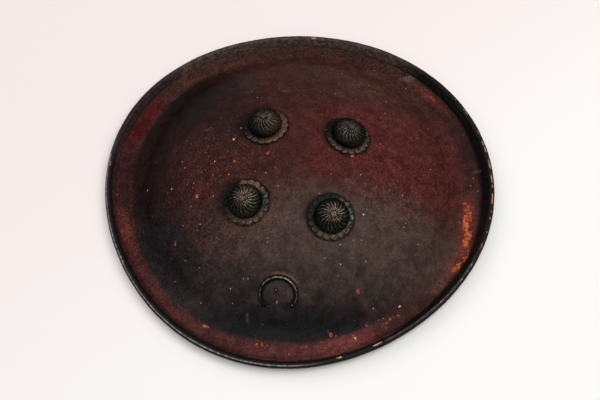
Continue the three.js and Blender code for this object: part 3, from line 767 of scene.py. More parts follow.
# Broad patches of the dome: middle, half sizes, colour and how much
TONES = (
    # The warm patch on the right is partly painted light, the soot patches on the left and upper left and
    # the dark patch between them are partly painted shade, and the umber patch below the middle is a
    # painted sheen
    ((105, 10), (90, 76), WARM_LIT, 0.95),
    ((90, 145), (95, 38), TAWNY, 0.9),
    ((-20, 125), (75, 42), (0.036, 0.0095, 0.0075), 0.85),
    ((50, -92), (150, 52), SHEEN_UMBER, 0.95),
    ((35, -141), (120, 19), DUN, 0.7),
    ((-88, -138), (62, 36), MOSS, 0.85),
    ((-100, 78), (54, 60), (0.027, 0.010, 0.0085), 0.75),
    ((-130, 122), (58, 66), SOOT_AND_SHADE, 0.97),
    ((-180, 20), (40, 100), SOOT_AND_SHADE, 0.88),
    ((-155, -98), (44, 52), SLATE, 0.88),
    ((-18, -182), (138, 30), SLATE, 1.0),
    ((-4, -146), (17, 14), (0.056, 0.040, 0.033), 0.6),
)

# The radii at which the valley, the painted shadow inside the lip on its right and the lip begin
VALLEY_AT, LIP_SHADOW_AT, LIP_AT = 196, 213, 215

# The valley round the dome: bearing, half angle and colour
VALLEY_TONES = (
    (153, 11, (0.066, 0.0055, 0.006)),
    (128, 14, (0.050, 0.019, 0.013)),
    (180, 18, (0.030, 0.008, 0.008)),
    (-160, 12, (0.046, 0.014, 0.011)),
    (-137, 20, (0.064, 0.018, 0.017)),
    (-112, 18, (0.062, 0.020, 0.018)),
    (-86, 16, (0.084, 0.026, 0.024)),
    (-73, 9, (0.150, 0.038, 0.034)),
    (-52, 12, (0.044, 0.018, 0.015)),
    (-32, 12, (0.085, 0.036, 0.028)),
    (18, 18, (0.031, 0.012, 0.010)),
)

# The lip: bearing, half angle and colour
LIP_TONES = (
    (80, 40, ASH),
    (120, 24, ASH),
    (48, 13, (0.030, 0.019, 0.017)),
    (34, 7, (0.050, 0.018, 0.013)),
    (158, 12, (0.03, 0.011, 0.010)),
    (-140, 22, (0.050, 0.011, 0.012)),
    (-90, 32, (0.078, 0.024, 0.021)),
    (-80, 12, (0.190, 0.060, 0.050)),
)

# Where the lacquer has flaked off: radius, half its width, bearing, half its angle, how much
RUBS = (
    (201, 4.5, -6.5, 3.5, 0.78), (203, 6, -12.5, 5, 0.86), (209, 6, -19.5, 5, 0.84),
    (216, 5, -25, 3, 0.66), (213, 4, -31, 3, 0.76), (211, 4, 37, 2.5, 0.62),
    (205, 2, -59, 7, 0.66), (199, 2.5, -68, 3, 0.5), (200, 3.5, -80, 5, 0.5),
    (204, 3, -101, 4, 0.65), (204.5, 1.3, -120, 1.6, 0.8), (208, 2.5, 127, 3, 0.8),
    (216, 6, -163, 4, 0.45), (133, 5, -156, 4, 0.5),
)

# Where the ground shows rusty through thin lacquer: radius, half width, bearing and half angle
RUST = ((211, 5, 38, 8), (215, 8, -164, 7), (202, 6, -8, 5), (206, 8, -16, 7), (214, 6, -27, 7))

# Single flakes, to the ground or paler: to the right, away, and half their size. Then a streak
FLAKES = (
    (-112, -40, 2.4), (-64, 40, 1.3), (-93, 0, 1.0), (-70, -5, 1.6), (-100, -28, 1.1),
    (-93, -44, 1.3), (-108, -11, 1.2), (-133, 10, 1.2), (-119, -50, 1.2), (-95, -29, 1.0),
    (-46, -21, 1.0), (-76, -21, 1.1), (105, -35, 1.1), (106, 76, 1.3), (-67, -86, 1.2),
    (-32, 1, 1.9), (110, 100, 1.7), (76, 63, 1.4), (63, 1, 2.5), (68, -145, 2.2),
    (76, -116, 1.5), (10, -151, 1.1), (31, -116, 1.0), (49, -137, 0.9), (38, -186, 2.2),
    (-21, -157, 1.6), (104, -167, 1.8), (77, -175, 1.5), (25, 220, 2.4), (55, -28, 1.0),
)
PALE_FLAKES = (
    (-72, 25, 1.5), (-144, -22, 1.1), (-177, -10, 1.1), (85, -158, 1.1), (115, -153, 1.4),
    (74, -68, 1.2), (48, -121, 1.0), (-72, -142, 0.9), (-53, -134, 0.9), (-102, -175, 1.2),
    (64, -189, 1.0), (48, -102, 0.8), (-93, -1, 1.0), (-34, -24, 0.9), (72, -23, 0.8),
)
STREAK, STREAK_HALF = (-137, -86), (1.1, 3.2)

# Scuffs, small dots of the ground, old gold and coarse grain: middle, half sizes and amount
SCUFFS = ((145, 163, 9, 3.5, 0.85), (-54, -169, 1.2, 4, 0.6), (219, 22, 6, 1.5, 0.5))
DOTTED = (
    (-104, -16, 46, 46, 1.0), (-67, -84, 22, 16, 0.8), (108, -28, 46, 40, 0.6),
    (0, -98, 46, 22, 0.5), (-200, -62, 18, 24, 1.0), (76, 92, 60, 34, 0.6),
    (-60, 44, 40, 26, 0.5), (34, -193, 15, 9, 1.2), (68, -184, 16, 13, 1.2),
    (98, -171, 18, 12, 1.3),
)
GILT_SPOTS = ((-104, 47, 7, 3, 0.6), (-12, 98, 5, 3.5, 0.6))
GILT_WASH = ((-48, -72, 32, 13, 0.55),)
GRAIN_ALL_OVER = 0.45
GRAIN = ((-130, -10, 110, 110, 0.45), (0, 150, 160, 55, 0.4), (110, 15, 80, 75, 0.4))

# The gold thread beside the crescent: its radius and width, then its angle from the top, half
# angle and fade
GILT_ARC, GILT_ARC_TURN = (24.6, 1.1), (20, 28, 18)

# Painted shade: its width round a flange, and its distance and width beside the crescent
SHADE_RING_WIDTH = 1.4 * MM
CRESCENT_SHADE_AT, CRESCENT_SHADE_WIDTH = 2.4 * MM, 1.2 * MM

# The lines of the binding's fold that take its marks: degrees round the fold, and their width
FOLD_LINES = dict(sliver=(-38, 20), thin=(-34, 11), line=(-8, 8), edge=(-20, 16))
JOINT_BEARING = math.degrees(JOINT_AT - CAMERA_TURN)

# The binding's tones, after their colour, its wear and its raw hide: how much, on which line, and
# the bearing, half angle and fade in degrees
BINDING_TONES = (
    (ASH, 1, "inside", 95, 36, 16),
    ((0.024, 0.011, 0.011), 1, "inside", 152, 12, 12),
    ((0.06, 0.018, 0.016), 1, "leg", -130, 60, 15),
    ((0.13, 0.042, 0.036), 0.85, "leg", -82, 18, 8),
    # The next two are painted highlights: a grey line along the bead at the lower right and a pale line
    # along the bead at the lower left
    ((0.085, 0.08, 0.077), 0.9, "thin", -46, 16, 6),
    ((0.3, 0.27, 0.25), 0.9, "line", -140, 45, 15),
)
BINDING_WEAR = (
    (0.62, "thin", -44, 2.5, 2),
    (0.75, "edge", -153, 1.0, 1.0),
    (0.7, "sliver", 174, 1.2, 1.5),
    (1.5, "sliver", 84.5, 0.6, 0.5),
)
BINDING_RAW = (
    (0.75, "sliver", JOINT_BEARING - 1.6, 1.4, 1.4),
    (0.5, "all", JOINT_BEARING, 0.3, 0.5),
    (0.8, "sliver", -78.5, 0.5, 0.7),
)


def photo_axes(points):
    """Right and away from the viewer, as the photograph shows the shield, in millimetres."""
    x, y = points[:, 0] / MM, points[:, 1] / MM
    cos, sin = math.cos(CAMERA_TURN), math.sin(CAMERA_TURN)
    return x * cos + y * sin, -x * sin + y * cos


def turned(bearing, at):
    """The degrees from one bearing to another, -180 to 180."""
    return (bearing - at + 180) % 360 - 180


def near_bearing(bearing, at, half, soft):
    """1 about a bearing, fading to 0 over the soft angle beyond its half angle."""
    return 1 - smoothstep(np.abs(turned(bearing, at)), half, half + soft)


def blob(u, v, at, size, soft=0.5):
    """1 inside an ellipse given by its middle and half sizes, fading to 0 outside."""
    distance = np.hypot((u - at[0]) / size[0], (v - at[1]) / size[1])
    return 1 - smoothstep(distance, 1 - soft, 1 + soft)


def arc_blob(r, bearing, place, soft):
    """The same in radius, half width, bearing and half angle."""
    at, wide, middle, half = place
    return blob(r, turned(bearing, middle), (at, 0), (wide, half), soft)


def patches(u, v, table, soft, start=0):
    """The sum of blobs, given by their middle, half sizes and amount."""
    return sum((amount * blob(u, v, place[:2], place[2:], soft) for *place, amount in table), start)


def flakes(u, v, table, tall):
    found = np.zeros_like(u)
    for x, y, size in table:
        found = np.maximum(found, 1.1 * blob(u, v, (x, y), (0.85 * size, tall * size), 0.6))
    return found


def painted(tone, colour, amount):
    amount = np.asarray(amount)[:, None]
    return tone * (1 - amount) + np.array(colour) * amount


def as_colour(tone):
    return np.column_stack([tone, np.ones(len(tone))])


def by_bearing(tone, bearing, share, tones):
    """Paints the colours of a rim's table over a tone, each about its own bearing."""
    for at, half, colour in tones:
        off = np.abs(turned(bearing, at))
        tone = painted(tone, colour, share * (1 - smoothstep(off, half * 0.5, half * 1.3)))
    return tone


def hide_tones(u, v, r, bearing, cloud):
    """The broad colour of each place on the face, painted one patch over another, painted light, shade
    and sheen among them, and a painted shadow under the right lip.
    """
    u, v = u + 12 * cloud, v + 12 * np.roll(cloud, 7)
    tone = np.tile(MAROON, (len(r), 1))
    for at, size, colour, amount in TONES:
        tone = painted(tone, colour, amount * blob(u, v, at, size, 0.6))
    inner = VALLEY_AT + 5 * near_bearing(bearing, -139, 15, 22)
    tone = painted(tone, VALLEY_RED, smoothstep(r, inner - 1, inner + 7))
    valley = smoothstep(r, inner, inner + 10) * (1 - 0.7 * smoothstep(r, LIP_AT - 3, LIP_AT + 5))
    tone = by_bearing(tone, bearing, valley, VALLEY_TONES)
    lip = smoothstep(r, LIP_AT, LIP_AT + 6)
    tone = by_bearing(painted(tone, BLACK, lip), bearing, lip, LIP_TONES)
    # A painted shadow: black in the groove and up the inside of the raised lip on the right
    inner = LIP_SHADOW_AT + 5 * smoothstep(bearing, 8, 34)
    ring = near_bearing(bearing, -4, 30, 14) * smoothstep(r, inner, inner + 4)
    tone = painted(tone, BLACK, 0.95 * ring)
    rust = sum(arc_blob(r, bearing, place, 0.8) for place in RUST)
    return painted(tone, RUSTY, 0.8 * np.minimum(1, rust))


def round_crescent(points):
    """The distance of each point from the crescent's middle, and its angle from the top."""
    local = through(points, crescent_seat.inverted())
    away = np.hypot(local[:, 0], local[:, 1] / CRESCENT_FLAT)
    return away, np.arctan2(local[:, 0], local[:, 1])


def with_painted_shade(points, tone):
    """Paints shade on the hide: a thin ring round each flange, a cast shadow beside each boss and a line
    along each side of the crescent.
    """
    shade_amount = np.zeros(len(points))
    for site, boss in BOSSES.items():
        out = through(points, boss_seat(site).inverted())
        away = np.hypot(out[:, 0], out[:, 1]) - FLANGE_RADIUS
        around = np.arctan2(out[:, 1], out[:, 0]) - math.radians(boss.dirt_at)
        # The ring widens into a painted cast shadow on the side where the boss's shadow falls
        width = SHADE_RING_WIDTH + boss.dirt_width * np.clip(np.cos(around), 0, 1) ** 2
        shade_amount = np.maximum(shade_amount, bell(away, 0, width))
    away, angle = round_crescent(points)
    # Painted shade along both sides of the crescent
    beside = bell(np.abs(away - CRESCENT_RADIUS), CRESCENT_SHADE_AT, CRESCENT_SHADE_WIDTH)
    shade_amount = np.maximum(shade_amount, beside * (np.abs(angle) < CRESCENT_HALF))
    return painted(tone, BLACK, 0.9 * shade_amount)


def crescent_gilt(points):
    """A thread of old gold just outside the crescent's right shoulder."""
    away, angle = round_crescent(points)
    return bell(away / MM, *GILT_ARC) * near_bearing(np.degrees(angle), *GILT_ARC_TURN)


def hide_marks(points, radius, face):
    """The tone of each place, painted light and shade among it, and where it is rubbed, gilt, scuffed or
    raw, all on its face.
    """
    u, v = photo_axes(points)
    r = radius / MM
    bearing = np.degrees(np.arctan2(v, u))
    cloud = fbm(points, 26 * MM, 3, 5)
    ragged = fbm(points, 7 * MM, 3, 6)
    arc = crescent_gilt(points)
    # Painted shade and cast shadows round the bosses and the crescent
    tone = with_painted_shade(points, hide_tones(u, v, r, bearing, cloud))
    tone = painted(tone, ARC_GOLD, 0.8 * arc)
    tone = painted(tone, INSIDE, ~face)
    worn = np.maximum(flakes(u, v, FLAKES, 1.15), 1.1 * blob(u, v, STREAK, STREAK_HALF))
    for *place, amount in RUBS:
        worn = np.maximum(worn, amount * arc_blob(r + 3 * ragged, bearing + 2 * cloud, place, 0.6))
    grain = patches(u, v, GRAIN, 0.5, GRAIN_ALL_OVER)
    grain = np.minimum(1, grain + 0.2 * smoothstep(r, VALLEY_AT, VALLEY_AT + 10))
    on_face = dict(
        lit=smoothstep(tone.mean(1), 0.008, 0.026),
        grain=grain,
        dotted=patches(u, v, DOTTED, 0.8),
        worn=worn,
        raw=flakes(u, v, PALE_FLAKES, 1.1),
        gilt=patches(u, v, GILT_SPOTS, 0.5) + patches(u, v, GILT_WASH, 0.8) + arc,
        scuff=patches(u, v, SCUFFS, 0.7),
    )
    return dict(tone=as_colour(tone), **{mark: amount * face for mark, amount in on_face.items()})


def seat_matrix(x, y, turn=0.0):
    """A frame on the hide's face over x, y, with its Z straight out of the hide."""
    place = Vector((x, y, dome_centre_z + math.sqrt(DOME_RADIUS**2 - x * x - y * y)))
    out = (place - Vector((0, 0, dome_centre_z))).normalized()
    across = Vector((math.cos(turn), math.sin(turn), 0))
    across = (across - out * across.dot(out)).normalized()
    along = out.cross(across)
    seat = Matrix((across, along, out)).transposed().to_4x4()
    seat.translation = place + Vector(ORIGIN)
    return seat


crescent_out = dome_reach - CRESCENT_INSET
crescent_seat = seat_matrix(
    crescent_out * math.cos(CRESCENT_BEARING),
    crescent_out * math.sin(CRESCENT_BEARING),
    CRESCENT_TURN,
)


# The hide and its binding

def hide_edge():
    """The lip's cut edge, rounded over, as rows from its face to its underside."""
    middle_r, middle_z = lip_point(HIDE / 2, LIP_SLOPE)
    rows = []
    for turn in np.linspace(-QUARTER, QUARTER, EDGE_STEPS)[1:-1]:
        out, along = HIDE / 2 * EDGE_BULGE * math.cos(turn), HIDE / 2 * math.sin(turn)
        r = middle_r + out * math.cos(LIP_SLOPE) + along * math.sin(LIP_SLOPE)
        z = middle_z + out * math.sin(LIP_SLOPE) - along * math.cos(LIP_SLOPE)
        rows.append(warped(np.array(r), np.array(z), rim_angles))
    return middle_r, np.array(rows)


def make_hide():
    top_r, top_z = hide_profile(0, FACE_STEPS)
    under_r, under_z = hide_profile(HIDE, UNDER_STEPS)
    top = warped(top_r[:, None], top_z[:, None], rim_angles[None, :])
    under = warped(under_r[:, None], under_z[:, None], rim_angles[None, :])
    middle_r, edge = hide_edge()
    grid = np.concatenate([top, edge, under[::-1]])
    radius = np.concatenate([top_r, np.full(len(edge), middle_r), under_r[::-1]])
    below = np.arange(len(grid)) >= len(top)
    calm = 1 - smoothstep(radius, bend_centre, edge_radius) * 0.7
    calm = np.where(below, calm * 0.4, calm)
    calm = calm * (1 - bell(radius - bend_centre, REST_WIDTH / 2, REST_CALM) * below)
    uneven = lumps(grid.reshape(-1, 3), HIDE_LUMPS).reshape(grid.shape[:2]) * calm[:, None]
    grid = grid + grid_normals(grid) * uneven[..., None]
    crown = dome_centre_z + DOME_RADIUS
    points, faces = capped(grid, [[0, 0, crown], [0, 0, crown - HIDE]])
    points = points + ORIGIN
    radius = np.append(np.repeat(radius, RIM_COUNT), [0, 0])
    face = np.append(np.repeat(~below, RIM_COUNT), [True, False])
    marks = hide_marks(points, radius, face)
    mesh_object("hide_face", (points, faces), "shell", "lacquered_hide", "hide_bowl", **marks)


binding_bend = np.linspace(-QUARTER, QUARTER, 25)


def binding_line(offset, feathered):
    """Half of the strip's section: along the lip's face, round its edge and back below."""
    legs = np.linspace(LIP_SLOPE - BINDING_REACH / lip_middle, LIP_SLOPE, BINDING_LEG)[:-1]
    thin = offset - feathered * (1 - smoothstep(np.arange(BINDING_LEG - 1), 0, 4))
    r, z = lip_point(HIDE / 2, LIP_SLOPE)
    out = HIDE / 2 + offset
    tip = [(r + out * math.cos(LIP_SLOPE - a), z + out * math.sin(LIP_SLOPE - a)) for a in binding_bend]
    face = [lip_point(-off, a) for off, a in zip(thin, legs)]
    back = [lip_point(HIDE + off, a) for off, a in zip(thin, legs)]
    return face + tip + back[::-1]


def strip_ends(rings_count, count, half):
    """Faces that close the strip at its joint, between its outer and inner lines."""
    faces = []
    for base, flip in ((0, True), ((rings_count - 1) * count, False)):
        for i in range(half - 1):
            face = (base + i, base + count - 1 - i, base + count - 2 - i, base + i + 1)
            faces.append(face[::-1] if flip else face)
    return faces


def make_binding():
    gap = JOINT_GAP / 2 / edge_radius
    angles = np.linspace(JOINT_AT + gap, JOINT_AT + TURN - gap, 2 * RIM_COUNT)
    outer = binding_line(BINDING_GAP + BINDING_WALL, OUTER_FEATHER)
    section = np.array(outer + binding_line(BINDING_GAP, INNER_FEATHER)[::-1])
    grid = warped(section[None, :, 0], section[None, :, 1], angles[:, None])
    wave = lumps(grid.reshape(-1, 3), BINDING_LUMPS).reshape(grid.shape[:2])
    wave = wave * (np.arange(len(section)) < len(outer))
    middle = np.array(lip_point(HIDE / 2, LIP_SLOPE - BINDING_REACH / lip_middle / 2))
    away = unit(section - middle)
    cos, sin = np.cos(angles)[:, None], np.sin(angles)[:, None]
    out, up = away[None, :, 0], away[None, :, 1]
    push = np.stack([out * cos, out * sin, up + 0 * cos], axis=-1)
    points = (grid + push * wave[..., None]).reshape(-1, 3) + ORIGIN
    count, half = len(section), len(outer)
    faces = rows_faces(len(angles), count) + strip_ends(len(angles), count, half)
    before, after = np.full(BINDING_LEG - 1, -QUARTER), np.full(BINDING_LEG - 1 + half, QUARTER)
    turn = np.tile(np.concatenate([before, binding_bend, after]), len(angles))
    leg = np.concatenate([np.linspace(0, 1, BINDING_LEG - 1), np.ones(count - BINDING_LEG + 1)])
    marks = binding_marks(points, np.repeat(angles, count), turn, np.tile(leg, len(angles)))
    mesh_object("rim_strip", (points, faces), "shell", "binding_hide", "rim_binding", **marks)


def binding_marks(points, angle, turn, leg):
    """Tones, painted highlight lines and wear of the strip, by bearing and by the turn round its fold,
    inside to outside.
    """
    bearing = np.degrees(angle - CAMERA_TURN)
    inside = 1 - smoothstep(turn, math.radians(-40), math.radians(5))
    lines = dict(all=1, leg=1 - leg, inside=inside)
    for name, (at, wide) in FOLD_LINES.items():
        lines[name] = bell(turn, math.radians(at), math.radians(wide))
    tone = np.tile(BLACK, (len(points), 1))
    for colour, amount, name, *where in BINDING_TONES:
        tone = painted(tone, colour, amount * lines[name] * near_bearing(bearing, *where))

    def rubbed(found, table):
        for amount, name, *where in table:
            found = np.maximum(found, amount * near_bearing(bearing, *where) * lines[name])
        return found

    cloud = 0.6 + 0.6 * fbm(points, 9 * MM, 3, 8)
    worn = np.clip(lines["edge"] * near_bearing(bearing, -2, 33, 8) * cloud, 0, 1)
    return dict(tone=as_colour(tone), worn=rubbed(worn, BINDING_WEAR), raw=rubbed(0, BINDING_RAW))


# Bosses and what their bolts carry

def half_column_at(across):
    """Half the distance between the two bolts of a column this far across from the middle."""
    middle = (BOSS_LEFT_PITCH + BOSS_RIGHT_PITCH) / 4
    return middle + across * (BOSS_RIGHT_PITCH - BOSS_LEFT_PITCH) / (2 * BOSS_ROW_PITCH)


def boss_seat(site):
    reach = BOSSES[site].column * BOSS_ROW_PITCH / 2
    return seat_matrix(
        BOSS_CENTRE[0] + reach * math.cos(BOSS_TURN),
        BOSS_CENTRE[1] + reach * math.sin(BOSS_TURN) + BOSSES[site].row * half_column_at(reach),
    )


boss_base = 2 * SEAT_GAP + FLANGE_THICKNESS - dome_fall(BOSS_FOOT, 0)
boss_crown = boss_base + BOSS_HEIGHT
# How far the flat facets of the solid's dome lie inside it
facet_sag = DOME_RADIUS * (1 - math.cos(DOME_SLOPE / 16))
seat_depth = HIDE + SEAT_GAP + facet_sag
washer_top = seat_depth + CUSHION_CORNER + SEAT_GAP
washer_under = washer_top + WASHER_THICKNESS
eye_depth = washer_under + SEAT_GAP + EYE_RADIUS + EYE_WIRE


def dished(shape):
    """Bends a flat piece down onto the dome, whose face falls away from its seat."""
    points = np.array(shape[0])
    points[:, 2] -= dome_fall(points[:, 0], points[:, 1])
    return points, shape[1]


def from_boss(points, seat):
    """How far to the right and away from the boss's crown the points are, in millimetres."""
    u, v = photo_axes(np.asarray(points))
    crown_u, crown_v = photo_axes(np.array([seat @ Vector((0, 0, boss_crown))]))
    return u - crown_u, v - crown_v


def boss_gilt(right, away, site):
    """The old gold and brown that is left on some of the bosses."""
    if site == "back_left":
        return np.clip(right / 24 - away / 60, 0, 1)
    if site == "front_left":
        top = np.clip(away / 20, 0, 1) * (np.abs(right - 7) < 11)
        return np.maximum(top, np.clip(-away / 50, 0, 0.4))
    return np.clip(-away / 50, 0, 0.25)


def make_flange(seat, site):
    """A thin plate whose edge is a row of petals, each a low swelling between two grooves."""
    count = PETAL_SIDES * PETALS
    a = round_steps(count)
    bulge = np.abs(np.sin(a * PETALS / 2))
    outer = FLANGE_RADIUS - PETAL_DEPTH * (1 - bulge**0.7)
    radii, heights, ridge = [HOLE], [FLANGE_THICKNESS], [0 * a]
    for t in np.linspace(0, 1, PETAL_STEPS):
        radii.append(PETAL_START + t * (outer - FLANGE_EDGE - PETAL_START))
        swell = math.sin(math.pi * min(1, 0.1 + 0.9 * t)) ** 0.8
        groove = PETAL_GROOVE * (1 - bulge) ** 3 * t
        top = FLANGE_THICKNESS - PETAL_FALL * t**4
        heights.append(top + PETAL_RISE * swell * bulge**0.4 - groove)
        # A painted highlight on each petal, strongest toward its tip, weaker in the notches and gone at
        # the outer rim
        lit = 0.1 + 0.24 * t * smoothstep(bulge, 0.1, 0.6)
        ridge.append(lit * (1 - smoothstep(t, 0.82, 0.98)))
    radii += [outer, outer, FLANGE_RADIUS / 2, HOLE]
    heights += [FLANGE_THICKNESS * 0.5, 0, 0, 0]
    ridge += 4 * [0 * a]
    shape = moved(dished(looped(rings(radii, [SEAT_GAP + h for h in heights], count))), seat)
    right, away = from_boss(shape[0], seat)
    bearing = np.arctan2(away, right)
    # Painted light from one bearing on the flange, turning to painted shade on its far side
    flange_lit = 0.12 + 0.88 * smoothstep(np.cos(bearing - FLANGE_LIT_AT), -0.8, 0.2)
    mesh_object(
        "boss_flange_" + site, shape, "shell", "boss_iron", "boss_rosette_" + site,
        ridge=np.concatenate(ridge) * flange_lit, gilt=boss_gilt(right, away, site),
    )


def make_cap(seat, site):
    """The fluted dome: each flute swells between two sharp grooves that curl from the crown."""
    count = FLUTE_SIDES * FLUTES
    a = round_steps(count)
    inner = BOSS_FOOT - BOSS_WALL
    radii, heights, ridge = [], [], []
    for t in np.linspace(math.asin(HOLE / BOSS_RADIUS), QUARTER, CAP_STEPS[0]):
        lobe = np.abs(np.sin((a + FLUTE_CURL * math.cos(t)) * FLUTES / 2))
        depth = FLUTE_DEPTH * max(0, math.sin(2 * t)) ** 0.7 * (1 - lobe) ** 1.3
        radii.append(BOSS_RADIUS * math.sin(t) - depth * math.sin(t))
        heights.append(BOSS_BELLY + (BOSS_HEIGHT - BOSS_BELLY) * math.cos(t) - depth * math.cos(t))
        # A painted highlight along each flute's ridge, on the upper part of the dome only
        ridge.append(lobe**7 * smoothstep(math.cos(t), 0.35, 0.7))
    for t in np.linspace(0, QUARTER, CAP_STEPS[1])[1:]:
        radii.append(BOSS_FOOT + (BOSS_RADIUS - BOSS_FOOT) * math.cos(t))
        heights.append(BOSS_BELLY * (1 - math.sin(t)))
    for t in np.linspace(QUARTER, math.asin(HOLE / inner), CAP_STEPS[2]):
        radii.append(inner * math.sin(t))
        heights.append((BOSS_HEIGHT - BOSS_WALL) * math.cos(t))
    ridge += (len(radii) - len(ridge)) * [0 * a]
    shape = moved(looped(rings(radii, [boss_base + h for h in heights], count)), seat)
    right, away = from_boss(shape[0], seat)
    wear = BOSSES[site].wear
    # About the rubbed crown the painted highlight is stronger, and gilt brown is laid on as a warm
    # highlight
    crown = blob(right, away, BOSSES[site].worn_at, CROWN_SIZE, 0.6)
    ridge = np.concatenate(ridge)
    side = np.hypot(right, away) > CAP_SIDE
    mesh_object(
        "boss_cap_" + site, shape, "shell", "boss_iron", "boss_dome_" + site,
        ridge=wear * (ridge * (0.2 + 0.8 * crown) + 0.08 * crown * (ridge > 0)),
        gilt=np.maximum(0.4 * boss_gilt(right, away, site) * side, 0.3 * wear**2 * crown),
    )


def make_bolt(seat, site):
    """The bolt is peened over the crown of the boss and ends inside in an eye."""
    top = boss_crown + SEAT_GAP
    wear = BOSSES[site].wear
    arch = np.linspace(0, 1.5, 9)
    head = [(HEAD_TIP, 0)] + [(HEAD_RADIUS * math.cos(t), HEAD_HEIGHT * math.sin(t)) for t in arch]
    head = moved(lathe(head, dents=HEAD_DENTS, seed=len(site)), Matrix.Translation((0, 0, top)))
    shank = lathe([(SHANK, top + HEAD_HEIGHT / 2), (SHANK, -eye_depth + EYE_RADIUS)], 32)
    upright = Matrix.Translation((0, 0, -eye_depth)) @ Matrix.Rotation(QUARTER, 4, "Y")
    shape = moved(joined(head, shank, moved(torus(EYE_RADIUS, EYE_WIRE), upright)), seat)
    # The head's middle is lighter, partly rubbed and partly a painted highlight, as much as its boss's
    # crown
    crown = np.hypot(head[0][:, 0], head[0][:, 1]) / HEAD_RADIUS
    ridge = np.full(len(shape[0]), 0.25)
    ridge[: len(crown)] = 0.6 * wear * (1 - smoothstep(crown, 0.3, 0.9))
    gilt = np.zeros(len(shape[0]))
    gilt[: len(crown)] = 0.5 * wear
    mesh_object(
        "eye_bolt_" + site, shape, "shell", "ring_iron", "ring_bolt_" + site,
        ridge=ridge, gilt=gilt,
    )


def make_washer(seat, site):
    """A flat washer with softened edges, rubbed bright on its rim."""
    line = (
        (HOLE, washer_top, 0),
        (WASHER_RADIUS - WASHER_EDGE, washer_top, 0.2),
        (WASHER_RADIUS, washer_top + WASHER_EDGE, 0.8),
        (WASHER_RADIUS, washer_under - WASHER_EDGE, 0.8),
        (WASHER_RADIUS - WASHER_EDGE, washer_under, 0.5),
        (HOLE, washer_under, 0.2),
    )
    radii, depths, ridge = zip(*line)
    shape = moved(looped(rings(radii, [-depth for depth in depths], WASHER_SIDES)), seat)
    mesh_object(
        "eye_washer_" + site, shape, "shell", "ring_iron", "ring_washer_" + site,
        ridge=np.repeat(ridge, WASHER_SIDES),
    )


def ring_middle(site):
    low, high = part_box("grip_ring_" + site)
    return (low + high) / 2


def make_ring(site):
    """A ring of drawn wire, worn thin where it has rubbed on its eye and in the strap's loop."""
    points, faces = torus(RING_RADIUS, RING_WIRE, 96, 18)
    angle = np.arctan2(points[:, 1], points[:, 0])
    wear = np.maximum(0, np.abs(np.sin(angle)) - 0.93) / 0.07
    out = np.hypot(points[:, 0], points[:, 1])
    points = points * (1 + RING_WEAR * wear * np.sign(RING_RADIUS - out))[:, None]
    place = Matrix.Translation(ring_middle(site)) @ Matrix.Rotation(QUARTER, 4, "X")
    mesh_object(
        "hand_ring_" + site, moved((points, faces), place), "ring_" + site, "ring_iron",
        "grip_ring_" + site, ridge=0.25 + 0.7 * wear,
    )


# The crescent and its nails

def crescent_place(angle):
    """A place on the crescent's middle line, at an angle from its top."""
    return np.array([
        CRESCENT_RADIUS * math.sin(angle),
        CRESCENT_FLAT * CRESCENT_RADIUS * math.cos(angle),
    ])


def crescent_section(place, out, share):
    """A half-round section, wider than high, closed flat below."""
    t = np.linspace(0, math.pi, ARCH_STEPS)
    side = share * CRESCENT_WIDTH / 2 * np.cos(t)
    rise = SEAT_GAP + share * CRESCENT_HEIGHT * np.sin(t) ** 0.9
    arch = np.stack([place[0] + out[0] * side, place[1] + out[1] * side, rise], axis=-1)
    base = np.linspace(arch[-1], arch[0], BASE_STEPS + 2)[1:-1]
    return np.vstack([arch, base])


def crescent_rows():
    """Sections from one horn's point to the other's."""
    rows = []
    for a in np.linspace(CRESCENT_HALF, -CRESCENT_HALF, CRESCENT_STEPS):
        share = CRESCENT_TIP + (1 - CRESCENT_TIP) * math.cos(a / CRESCENT_HALF * QUARTER)
        out = unit(np.array([CRESCENT_FLAT * math.sin(a), math.cos(a)]))
        rows.append(crescent_section(crescent_place(a), out, share))
    points = []
    for hand in (1, -1):
        place = crescent_place(hand * CRESCENT_HALF) - np.array([hand * HORN, 0])
        points.append(crescent_section(place, (0, -1), HORN_SHARE))
    return [points[0], *rows, points[1]]


nail_places = [
    crescent_place(-CRESCENT_HALF),
    crescent_place(CRESCENT_HALF),
    np.array(CENTRE_NAIL),
]


def on_dome(shape, place):
    """Seats a small upright piece at a place beside the crescent's middle."""
    x, y = place
    return moved(shape, Matrix.Translation((x, y, -dome_fall(x, y))))


def make_crescent():
    """A raised crescent with horns, and the round pad under the nail at each of its ends."""
    rows = crescent_rows()
    body = dished(capped(rows))
    # A painted highlight along the outer shoulder of each section's arch
    bright = 0.85 * bell(np.linspace(0, math.pi, ARCH_STEPS), 1.1, 0.26)
    top = SEAT_GAP + NAIL_PAD_HEIGHT
    line = [(NAIL_PAD, SEAT_GAP), (NAIL_PAD, NAIL_PAD_HEIGHT), (NAIL_PAD * 0.8, top)]
    pads = [on_dome(lathe(line, NAIL_SIDES), place) for place in nail_places[:2]]
    shape = moved(joined(body, *pads), crescent_seat)
    on_rows = np.tile(np.append(bright, [0] * BASE_STEPS), len(rows))
    ridge = np.concatenate([on_rows, [0, 0], np.full(len(shape[0]) - len(body[0]), 0.1)])
    mesh_object("crescent_mount", shape, "shell", "boss_iron", "crescent", ridge=ridge)


